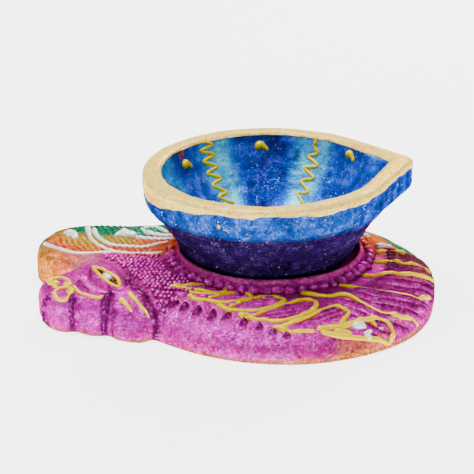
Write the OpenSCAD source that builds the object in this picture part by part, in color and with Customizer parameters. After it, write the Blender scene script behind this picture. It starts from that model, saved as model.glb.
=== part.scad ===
/* [Plaque] */
// Height of the plaque's top face above the surface that it stands on
deck_h = 11.2; // [9:0.1:14]
// Radius of the flat middle of the plaque, before its top rolls down to the edge
flat_r = 30; // [29.5:0.1:31]
// Height that the head stands proud of the top face, beside the eye
head_rise = 3.2; // [1:0.1:4]
// Depth of the valley that parts the head from the body
head_valley = 2; // [0.5:0.1:2.5]

/* [Seat for the cup] */
// Distance from the plaque's middle to the middle of the seat, along X
seat_x = 1.5; // [0:0.1:2]
// Radius of the round seat that the cup stands in
seat_r = 28.5; // [28.3:0.1:28.7]
// Height of the seat's floor
seat_floor = 7; // [5:0.1:8]
// Height of the lip round the seat
lip_h = 14.6; // [13:0.1:15]
// Width of the lip round the seat, at its foot
lip_w = 2.6; // [2:0.1:5]

/* [Clay pellets round the seat] */
// Number of pellets in the row
pellet_count = 54; // [40:1:55]
// Diameter of one pellet
pellet_d = 3.5; // [3:0.1:3.5]
// Radius of the row, from the seat's middle
pellet_row_r = 31.6; // [31:0.1:34]

/* [Cup] */
// Place of the cup's middle along X, as it stands in the seat
cup_x = 0.6; // [0.4:0.1:1.2]
// Place of the cup's middle along Y, as it stands in the seat
cup_y = 0.4; // [0:0.1:0.6]
// Height of the cup's rim above the surface that the plaque stands on
rim_h = 40.4; // [39:0.1:44]
// Outer radius of the rim
rim_r = 39.2; // [38.9:0.1:41]
// Thickness of the wall at the rim
rim_wall = 5.4; // [4:0.1:6]
// Radius of the foot
foot_r = 22.8; // [20:0.1:23]
// Gap between the foot and the seat's floor
foot_gap = 0.3; // [0.1:0.1:0.5]
// Height of the upright band below the rim
band_h = 8.7; // [7:0.1:9]
// Thickness of the clay under the bowl
bowl_floor = 6.4; // [5:0.1:8]
// Distance from the cup's middle to the tip of the spout
spout_reach = 46.8; // [44:0.1:48]
// Direction of the spout, turned from +X towards +Y
spout_turn = 8.5; // [0:0.5:12]
// Radius of the spout's rounded tip
spout_tip_r = 3; // [2.5:0.1:4]

/* [Painted lines] */
// Width of a line of raised paint
line_w = 1.6; // [1.2:0.1:2]
// Height of a line of raised paint
line_h = 0.8; // [0.5:0.1:1]
// Thickness of the gilding on the rim
gilding = 0.3; // [0.2:0.05:0.5]
// Number of zigzag lines down the inside of the cup
zigzag_count = 5; // [3:1:6]

/* [Hidden] */

foot_z = seat_floor + foot_gap;
band_z = rim_h - band_h;
bowl_r = rim_r - rim_wall;
bowl_deep = rim_h - foot_z - bowl_floor;
bowl_round = 1.7;
magenta = [0.80, 0.08, 0.66];
clay = [0.72, 0.36, 0.22];
blue = [0.02, 0.38, 0.80];
gold = [0.85, 0.70, 0.42];
yellow = [1, 0.88, 0.12];
white = [0.97, 0.97, 0.95];

// Outline of the plaque on the ground, anticlockwise from the tail, as [x, y, edge]:
// a high edge value gives an upright wall and a low one gives a rounded slope.
outline = [[54, 4, 2.4], [49, 19, 2.4], [38, 32.5, 2.4], [22, 41, 2.4], [2, 43.5, 2.6],
    [-18, 40.5, 3], [-36, 34.5, 4], [-50, 30.5, 6], [-62, 29.5, 8], [-69.5, 26.5, 9],
    [-73.5, 20, 9], [-74.5, 11.5, 9], [-72.5, 4, 9], [-68, 0.5, 9], [-62, -4, 8], [-60, -9, 8],
    [-66, -15, 8], [-70.5, -19.5, 8], [-69, -25.5, 8], [-66.5, -32, 8], [-62, -35.5, 8],
    [-58, -35.5, 8], [-53, -38.5, 8], [-48, -38.5, 5], [-44, -42, 2.6], [-38, -43.5, 2.3],
    [-34, -41.5, 2.4], [-29, -45.5, 2.6], [-18, -53, 2.5], [-4, -58, 2.4], [12, -58.5, 2.3],
    [28, -53, 2.2], [41, -43, 2.2], [49, -30, 2.2], [53, -14, 2.3]];

// Mounds and valleys on the head, as [x, y, direction, half length, half width, rise].
head_forms = [[-49.5, -20, 117, 11, 6.5, head_rise], [-38, -34, 104, 9, 5, head_rise / 2],
    [-42.5, -22, 114, 13, 1.8, -head_valley]];

// Paths of the painted lines on the plaque, as [x, y].
eye_path = [[-54.5, -14.5], [-50, -19], [-45.5, -24.5], [-44.5, -30], [-49, -27.5], [-53, -21]];
pupil_path = [[-50, -22.5], [-49, -24], [-48, -25.5]];
upper_curl_path = [[-67.5, -21], [-64.5, -18.5], [-61.5, -21], [-61, -24.5]];
lower_curl_path = [[-65.5, -23], [-64, -26], [-61, -26.5], [-57, -31], [-53.5, -33.5], [-49.5, -34.5]];
beak_paths = [[[-41.5, -33], [-38.5, -36.5], [-35, -40.5]], [[-44.5, -35], [-42.5, -37], [-40.5, -39]]];
feather_paths = [
    [[-29.5, -27.5], [-24.5, -25.8], [-19, -25.3], [-13.5, -27], [-12.5, -30], [-19.5, -31.3], [-26, -30]],
    [[-23.5, -33.5], [-18.5, -36.5], [-11.5, -37.7], [-5.5, -36], [-6, -32.3], [-12, -31.5], [-19, -32]],
    [[-15, -39.5], [-9.5, -42.3], [-2, -42.7], [4, -40], [4, -35], [-2, -34], [-10, -36.8]],
    [[-9, -44.5], [-3, -47.7], [5, -48.7], [12.5, -44.5], [13.5, -38.5], [6, -38.5], [-2, -42]],
    [[1.5, -50], [8, -53], [14, -52.5], [21.5, -48], [24, -42], [18, -40], [9, -46]]];
paisley_path = [[15, -51], [21, -47.7], [28, -44.2], [33.5, -42], [37.3, -44], [33, -48], [26, -50.8], [19.5, -51.8]];
paisley_heart = [[25.5, -47.8], [29, -46.7], [32.5, -45.2]];
tail_paths = [[[35.5, 1.5], [40.5, 4], [45.5, 4.5]],
    [[34.5, -6.5], [39.5, -5.5], [46.5, -2.5], [50, -0.5]],
    [[30, -18], [35.5, -16.5], [42, -13.5], [49, -10.5], [51.5, -8.5]],
    [[22.5, -26], [29.5, -26.5], [37.5, -26.5], [44.5, -25.5], [49.5, -22]],
    [[11, -32], [18, -34], [24.5, -33], [30, -36], [37, -38.5], [41, -38.5]]];
neck_path = [[-35, 1.5], [-42, 1.5], [-47.5, 2.5], [-53, 2], [-59, 1.5], [-63, 3.5], [-66.5, 6.5], [-70.5, 11.5]];
leaf_paths = [[[-48, 4.5], [-50.5, 5.5], [-53.5, 8.5], [-56, 12.5], [-57.5, 18], [-58.5, 23]],
    [[-34, 10], [-38.5, 8.5], [-44, 8], [-48.5, 9], [-52, 12], [-55, 18], [-56, 21.5]],
    [[-34, 14.5], [-38, 15], [-42, 17], [-45, 20.5], [-47.5, 22]],
    [[-33, 18], [-36, 19], [-39.5, 21.5], [-38.5, 25], [-35, 25]],
    [[-28, 34], [-26.5, 31.5], [-22.5, 31.2], [-19, 33.5], [-17, 37]],
    [[-8, 40], [-7, 37], [-2, 36.4], [2, 37.8], [3, 40.6]],
    [[13, 39], [14.5, 36], [18.5, 34], [22, 35.2], [23.5, 37.5]]];
drop_paths = [[[-48, 16.5], [-45.5, 18.5], [-43, 18]], [[-65.5, 19.5], [-63.5, 19], [-62.5, 15.5]],
    [[33, 17], [35, 19]], [[37, 7], [39, 8.5], [41.5, 9.5]]];

function unit(v) = v / norm(v);
function clamp01(t) = min(1, max(0, t));
function spline_at(p0, p1, p2, p3, t) = 0.5 * (2 * p1 + (p2 - p0) * t
    + (2 * p0 - 5 * p1 + 4 * p2 - p3) * t * t + (3 * p1 - p0 - 3 * p2 + p3) * t * t * t);
function closed_spline(P, steps) = let (n = len(P)) [for (i = [0:n - 1]) for (k = [0:steps - 1])
    spline_at(P[(i + n - 1) % n], P[i], P[(i + 1) % n], P[(i + 2) % n], k / steps)];
function open_spline(P, steps) = let (n = len(P)) concat([for (i = [0:n - 2]) for (k = [0:steps - 1])
    spline_at(P[max(i - 1, 0)], P[i], P[i + 1], P[min(i + 2, n - 1)], k / steps)], [P[n - 1]]);

// The plaque's top is laid out in polar form about its middle.
edge = closed_spline(outline, 3);
first_turn = atan2(edge[0].y, edge[0].x);
function turn_of(x, y) = let (a = atan2(y, x)) a < first_turn ? a + 360 : a;
edge_turns = [for (p = edge) turn_of(p.x, p.y)];
edge_r = concat([for (i = [0:len(edge) - 1]) [edge_turns[i], norm([edge[i].x, edge[i].y])]],
    [[first_turn + 360, norm([edge[0].x, edge[0].y])]]);
edge_form = concat([for (i = [0:len(edge) - 1]) [edge_turns[i], edge[i][2]]],
    [[first_turn + 360, edge[0][2]]]);
function head_form(x, y) = let (h = [for (f = head_forms)
    let (dx = x - f[0], dy = y - f[1], a = dx * cos(f[2]) + dy * sin(f[2]), b = dy * cos(f[2]) - dx * sin(f[2]))
    f[5] * exp(-pow(a / f[3], 2) - pow(b / f[4], 2))]) h[0] + h[1] + h[2];
function fall(t, n) = pow(1 - pow(t, n), 1 / n);
function top_z(x, y) = let (a = turn_of(x, y), r = norm([x, y]), n = lookup(a, edge_form),
    t = clamp01((r - flat_r) / (lookup(a, edge_r) - flat_r))) fall(t, n) * (deck_h + head_form(x, y));
function on_top(P) = [for (p = P) [p.x, p.y, top_z(p.x, p.y)]];

// The cup's inner wall, from the rim at down = 0 to the middle of the floor at down = 90.
function bowl_at(turn, down) = let (r = bowl_r * pow(cos(down), 2 / bowl_round),
    z = rim_h - bowl_deep * pow(sin(down), 2 / bowl_round)) [cup_x + r * cos(turn), cup_y + r * sin(turn), z];

// A raised line along the points P on the side that out points to, round on top and bedded in below.
module paint_line(P, out, w, h, closed = false) {
    n = len(P);
    sides = 6;
    last = n - 1;
    dirs = [for (i = [0:last]) closed ? unit(P[(i + 1) % n] - P[(i + last) % n])
        : unit(P[min(i + 1, last)] - P[max(i - 1, 0)])];
    rings = [for (i = [0:last]) let (side = unit(cross(out[i], dirs[i])), up = unit(cross(dirs[i], side)),
        size = !closed && (i == 0 || i == last) ? 0.5 : 1)
        for (k = [0:sides - 1]) P[i] + size * (side * cos(60 * k) * w / 2 + up * sin(60 * k) * h)];
    walls = [for (i = [0:closed ? last : last - 1]) for (k = [0:sides - 1])
        let (a = i * sides + k, b = i * sides + (k + 1) % sides, j = ((i + 1) % n) * sides)
        each [[a, j + k, j + (k + 1) % sides], [a, j + (k + 1) % sides, b]]];
    ends = closed ? [] : [[for (k = [0:sides - 1]) k], [for (k = [sides - 1:-1:0]) last * sides + k]];
    polyhedron(rings, concat(walls, ends), convexity = 8);
}

module line_on_top(path, w = line_w, h = line_h, closed = false) {
    P = on_top(closed ? closed_spline(path, 3) : open_spline(path, 3));
    paint_line(P, [for (p = P) [0, 0, 1]], w, h, closed);
}

module plaque_body() {
    falls = [0, 1.5, 6, 15, 28, 42, 56, 70, 82, 90];
    n = len(edge);
    last = len(falls) - 1;
    rings = [for (f = falls) for (i = [0:n - 1]) let (form = edge[i][2], t = pow(sin(f), 2 / form),
        r = edge_r[i][1], s = (flat_r + (r - flat_r) * t) / r, x = edge[i].x * s, y = edge[i].y * s)
        [x, y, pow(cos(f), 2 / form) * (deck_h + head_form(x, y))]];
    slopes = [for (j = [0:last - 1]) for (i = [0:n - 1]) let (a = j * n + i, b = j * n + (i + 1) % n)
        each [[a, b, b + n], [a, b + n, a + n]]];
    polyhedron(rings, concat(slopes, [[for (i = [n - 1:-1:0]) i], [for (i = [0:n - 1]) last * n + i]]),
        convexity = 6);
}

module peacock_plaque() {
    bed = deck_h - 3;
    color(magenta) {
        difference() {
            plaque_body();
            translate([seat_x, 0, seat_floor]) cylinder(r = seat_r, h = lip_h, $fn = 96);
        }
        translate([seat_x, 0, 0]) rotate_extrude($fn = 96) polygon([[seat_r, bed], [seat_r + lip_w, bed],
            [seat_r + lip_w, deck_h + 0.4], [seat_r + 1.7, lip_h - 1], [seat_r + 0.9, lip_h], [seat_r, lip_h - 0.3]]);
    }
}

module seat_pellets() {
    color(magenta) for (i = [0:pellet_count - 1]) translate([seat_x, 0, deck_h + 0.6])
        rotate(360 * i / pellet_count) translate([pellet_row_r, 0, 0]) sphere(d = pellet_d, $fn = 24);
}

module eye_outline() { color(yellow) line_on_top(eye_path, closed = true); }
module eye_pupil() { color(white) line_on_top(pupil_path, w = 1.8, h = 1); }
module upper_crest_curl() { color(yellow) line_on_top(upper_curl_path); }
module lower_crest_curl() { color(yellow) line_on_top(lower_curl_path); }
module beak_strokes() { color(yellow) for (path = beak_paths) line_on_top(path); }
module feather_loops() { color(yellow) for (path = feather_paths) line_on_top(path, closed = true); }
module wing_paisley() { color(yellow) line_on_top(paisley_path, closed = true); }
module paisley_filling() { color(white) line_on_top(paisley_heart, w = 2.6, h = 0.7); }
module tail_lines() { color(yellow) for (path = tail_paths) line_on_top(path); }
module neck_line() { color(white) line_on_top(neck_path); }
module train_leaf_lines() { color(white) for (path = leaf_paths) line_on_top(path); }
module train_drops() { color(white) for (path = drop_paths) line_on_top(path, w = 2.4, h = 0.8); }

// The cup's outside, made larger or smaller all round by grow.
module cup_outside(grow = 0) {
    turned = [[foot_r, foot_z], [26.3, 13.2], [30.1, 19.8], [35, 27.2], [37.6, 29.6], [38.8, band_z + 0.6]];
    rotate_extrude($fn = 96) polygon(concat([[0, foot_z]], [for (p = turned) [p[0] + grow, p[1]]],
        [[rim_r + grow, rim_h + grow], [0, rim_h + grow]]));
    hull() {
        rotate(spout_turn) translate([spout_reach - spout_tip_r, 0, band_z])
            cylinder(r = spout_tip_r + grow, h = band_h + grow, $fn = 24);
        translate([0, 0, band_z]) cylinder(r = 38.4 + grow, h = band_h + grow, $fn = 64);
        translate([0, 0, 27.2]) cylinder(r = 34.6 + grow, h = 1, $fn = 64);
    }
}

// The space inside the bowl and its spout.
module cup_inside() {
    over = 2;
    downs = [for (i = [0:10]) 9 * i];
    rotate_extrude($fn = 96) polygon(concat([[0, rim_h + over], [bowl_r, rim_h + over]],
        [for (d = downs) [bowl_r * pow(cos(d), 2 / bowl_round), rim_h - bowl_deep * pow(sin(d), 2 / bowl_round)]]));
    hull() {
        rotate(spout_turn) translate([spout_reach - 9, 0, rim_h - 4]) cylinder(r = 1.5, h = 4 + over, $fn = 16);
        translate([0, 0, rim_h - 9]) cylinder(r1 = bowl_r - 4.4, r2 = bowl_r - 0.6, h = 9, $fn = 64);
        translate([0, 0, rim_h]) cylinder(r = bowl_r - 0.6, h = over, $fn = 64);
    }
}

module cup() {
    color(blue) translate([cup_x, cup_y, 0]) difference() {
        cup_outside();
        cup_inside();
    }
}

module rim_gilding() {
    skirt = 2.2;
    color(gold) translate([cup_x, cup_y, 0]) intersection() {
        difference() {
            cup_outside(gilding);
            cup_inside();
            translate([0, 0, -2 * gilding]) cup_outside(-gilding);
        }
        translate([-60, -60, rim_h - skirt]) cube([120, 120, 10]);
    }
}

module zigzag_lines() {
    bends = 9;
    color(yellow) for (i = [0:zigzag_count - 1]) {
        turn = 54 + 360 / zigzag_count * i;
        path = [for (k = [0:bends]) bowl_at(turn + (k % 2 == 0 ? -3.5 : 3.5), 8 + 5 * k)];
        in = [for (p = path) unit([cup_x - p.x, cup_y - p.y, 20])];
        paint_line(path, in, line_w, line_h);
    }
}

module comma_dabs() {
    color(yellow) for (i = [0:zigzag_count - 1]) {
        turn = 90 + 360 / zigzag_count * i;
        path = [for (k = [0:3]) bowl_at(turn - 2 + 2.2 * k, 24 - 1.2 * k * k)];
        in = [for (p = path) unit([cup_x - p.x, cup_y - p.y, 20])];
        paint_line(path, in, 2.4, 1);
    }
}

module rim_drips() {
    color(yellow) for (drip = [[-121, 33.2, 36.3, 1.6], [-113, 35.6, 36.6, 1.2]]) {
        r = rim_r - 0.2;
        path = [for (z = [drip[1], (drip[1] + drip[2]) / 2, drip[2]])
            [cup_x + r * cos(drip[0]), cup_y + r * sin(drip[0]), z]];
        paint_line(path, [for (p = path) [cos(drip[0]), sin(drip[0]), 0]], drip[3], 0.6);
    }
}

peacock_plaque();
seat_pellets();
eye_outline();
eye_pupil();
upper_crest_curl();
lower_crest_curl();
beak_strokes();
feather_loops();
wing_paisley();
paisley_filling();
tail_lines();
neck_line();
train_leaf_lines();
train_drops();
cup();
rim_gilding();
zigzag_lines();
comma_dabs();
rim_drips();
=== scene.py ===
"""The looks of a painted peacock diya: a moulded clay plaque, its row of clay pellets, a thrown cup
with a pinched spout, and the lines of raised paint on both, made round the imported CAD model."""

import math

import bpy
import numpy as np
from bpy.props import FloatProperty, FloatVectorProperty, IntProperty, PointerProperty
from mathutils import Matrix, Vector
from mathutils.bvhtree import BVHTree


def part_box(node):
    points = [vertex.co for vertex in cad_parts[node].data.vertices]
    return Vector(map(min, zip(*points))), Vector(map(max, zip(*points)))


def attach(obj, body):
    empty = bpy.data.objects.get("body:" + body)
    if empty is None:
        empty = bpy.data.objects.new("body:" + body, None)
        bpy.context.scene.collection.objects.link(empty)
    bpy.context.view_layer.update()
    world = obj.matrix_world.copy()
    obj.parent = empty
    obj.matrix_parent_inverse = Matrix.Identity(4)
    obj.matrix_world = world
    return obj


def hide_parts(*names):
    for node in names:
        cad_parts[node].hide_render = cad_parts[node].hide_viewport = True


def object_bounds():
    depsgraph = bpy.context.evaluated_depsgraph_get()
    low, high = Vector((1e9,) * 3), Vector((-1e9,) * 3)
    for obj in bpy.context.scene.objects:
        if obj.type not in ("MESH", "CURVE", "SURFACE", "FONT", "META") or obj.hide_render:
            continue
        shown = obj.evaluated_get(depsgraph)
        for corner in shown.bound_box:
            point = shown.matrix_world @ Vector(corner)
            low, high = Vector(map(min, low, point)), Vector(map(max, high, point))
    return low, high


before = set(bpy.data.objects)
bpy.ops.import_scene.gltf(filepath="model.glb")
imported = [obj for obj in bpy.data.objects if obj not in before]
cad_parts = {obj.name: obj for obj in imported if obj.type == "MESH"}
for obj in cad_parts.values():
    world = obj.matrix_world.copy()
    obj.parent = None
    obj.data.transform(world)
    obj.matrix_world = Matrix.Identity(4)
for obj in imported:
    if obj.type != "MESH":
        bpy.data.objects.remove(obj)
cad_low, cad_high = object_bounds()

bl_info = {
    "name": "Painted Peacock Diya",
    "version": (1, 0, 0),
    "blender": (4, 5, 0),
    "location": "View3D > Sidebar > Diya",
    "description": "Builds a painted clay oil lamp: a peacock plaque, a loose cup and raised paint",
    "category": "Add Mesh",
}

MM = 0.001
PLAQUE_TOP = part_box("peacock_plaque")[1][2] / MM
PELLETS_LOW, PELLETS_HIGH = (np.array(corner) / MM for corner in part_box("seat_pellets"))
CUP_LOW, CUP_HIGH = (np.array(corner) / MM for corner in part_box("cup"))
SEAT_X = (PELLETS_LOW[0] + PELLETS_HIGH[0]) / 2
PELLET_Z = (PELLETS_LOW[2] + PELLETS_HIGH[2]) / 2
BARB_PITCH = 1.9  # from barb to barb of a pressed feather
LIP_SLOPE = 3.2  # from the seat's wall out to where the lip's outer slope meets the top
LINE_STEPS = 12  # places along each span of a relief line
LINE_SINK = 0.12  # how deep a relief line is bedded in the plaque
LINE_LIFT = 0.05  # height of a relief line's middle above the cup's skin
# The pearl colour is a lit copy of each paint: its pale clouds, and the painted highlight on
# ridges.
PEARL_LIGHT, PEARL_WHITE = 2.2, 0.12  # how much brighter and whiter the pearl is than its paint
# Darkens the paint for its darker clouds and for the painted shade in creases and pits.
CLOUD_AND_SHADE_TINT = (0.20, 0.12, 0.22)
# Whitish tint of the painted glints on the pearl paint's raised grain.
GLINT_TINT = (1.0, 0.92, 1.0)
FIBRE_WHITE = (0.85, 0.84, 0.9)
# The bright gilt colour is painted glint, for the bright specks in the gold.
WORN_GILT, GILT_GLINT, DARK_GILT = (0.42, 0.17, 0.03), (1.0, 0.92, 0.66), (0.34, 0.16, 0.04)

# -------------------------------------------- layout of the plaque, in millimetres

# The plaque's outline on the ground, anticlockwise from the tail, as (x, y, edge form): a high form
# gives an upright wall and a low one a rounded slope.
OUTLINE = [
    (54, 4, 2.4), (49, 19, 2.4), (38, 32.5, 2.4), (22, 41, 2.4), (2, 43.5, 2.6), (-18, 40.5, 3),
    (-36, 34.5, 4), (-50, 30.5, 6), (-62, 29.5, 8), (-69.5, 26.5, 9), (-73.5, 20, 9),
    (-74.5, 11.5, 9), (-72.5, 4, 9), (-68, 0.5, 9), (-62, -4, 8), (-60, -9, 8), (-66, -15, 8),
    (-70.5, -19.5, 8), (-69, -25.5, 8), (-66.5, -32, 8), (-62, -35.5, 8), (-58, -35.5, 8),
    (-53, -38.5, 8), (-48, -38.5, 5), (-44, -42, 2.6), (-38, -43.5, 2.3), (-34, -41.5, 2.4),
    (-29, -45.5, 2.6), (-18, -53, 2.5), (-4, -58, 2.4), (12, -58.5, 2.3), (28, -53, 2.2),
    (41, -43, 2.2), (49, -30, 2.2), (53, -14, 2.3),
]
# Rounded forms of the head: (x, y, direction in degrees, half length, half width, rise).
HEAD_FORMS = [
    (-49.5, -20, 117, 11, 6.5, 3.2),
    (-38, -34, 104, 9, 5, 1.6),
    (-42.5, -22, 114, 13, 1.8, -2.0),
]
# Pressed creases, and ridges where the depth is below 0: (points, depth, half width).
CREASES = [
    ([(-42.7, -27), (-42.5, -29.5), (-40.5, -31.5), (-37.5, -34.5), (-34.5, -39.5), (-33, -42)],
     1.3, 1.1),
    ([(-54.5, -18), (-53.5, -23), (-51, -27), (-46.5, -31)], 1.1, 0.7),
    ([(-57.5, -23.5), (-56.5, -27.5), (-54.5, -30.5)], 1.0, 0.8),
    ([(-56, -21), (-55, -25.5), (-53, -28.5), (-49.5, -31), (-45.5, -32)], -0.9, 0.7),
    ([(-52.5, -24.5), (-50.5, -27.5), (-48, -29.5)], -0.5, 0.5),
    ([(-59, -29), (-59, -37)], 1.6, 0.9),
    ([(-47.5, -34), (-48.5, -36.5), (-49.5, -40)], 2.0, 1.0),
    ([(-66, -30.5), (-69, -31)], 1.5, 0.8),
    ([(-45.5, -38), (-46, -44)], 0.6, 0.6),
]
# The neck and breast with their scales, and the train with its barbs, as outlines.
SCALE_PATCH = [
    (-53, 0.5), (-34, 0), (-33, -8), (-29.5, -17), (-22.5, -25), (-20, -29.5), (-28, -30),
    (-27, -36), (-31.5, -39), (-36, -31), (-41, -20), (-46, -9),
]
TRAIN_PATCH = [
    (-36.5, 1.5), (-45, 2.5), (-55, 1), (-62.5, 4.5), (-71.5, 12.5), (-73, 24), (-66, 28),
    (-52, 29.5), (-36, 33.5), (-18, 39), (2, 41.5), (21, 39), (33, 31), (43, 20), (34, 13),
    (24, 23), (8, 33), (-8, 33), (-24, 24), (-33, 12),
]
# Dents along the shoulder, each from its upper end to its lower one.
NOTCHES = [
    ((-26.5, -34), (-29, -38)), ((-23.5, -36.5), (-26, -41)),
    ((-19.5, -39), (-22, -44)), ((-15, -41.5), (-17.5, -47)),
    ((-10.5, -43.5), (-13.5, -48)), ((-6, -47), (-8, -50.5)),
    ((-1.5, -49.5), (-3.5, -52.5)), ((2.5, -51.5), (0.5, -54.5)),
    ((6.5, -53), (4.5, -55.5)),
]
# Middle lines of the tail's feathers, from the top one down, as y over x.
TAIL_X = [10, 20, 28, 34, 40, 46, 52, 56]
TAIL_Y = [
    [16, 12, 8, 6.5, 8, 11, 15, 18],
    [4, 3, 1.5, 1.5, 3, 4.5, 6, 7],
    [-8, -7.5, -6.5, -6, -6, -2, 1, 2],
    [-19, -18, -17, -16.5, -14, -12, -7.5, -5],
    [-26, -22.5, -25, -25, -25, -24, -20, -17],
    [-28, -33, -35, -38.5, -37, -35.5, -31, -27],
    [-40, -44, -47, -49, -49, -47, -42, -37],
]
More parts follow.
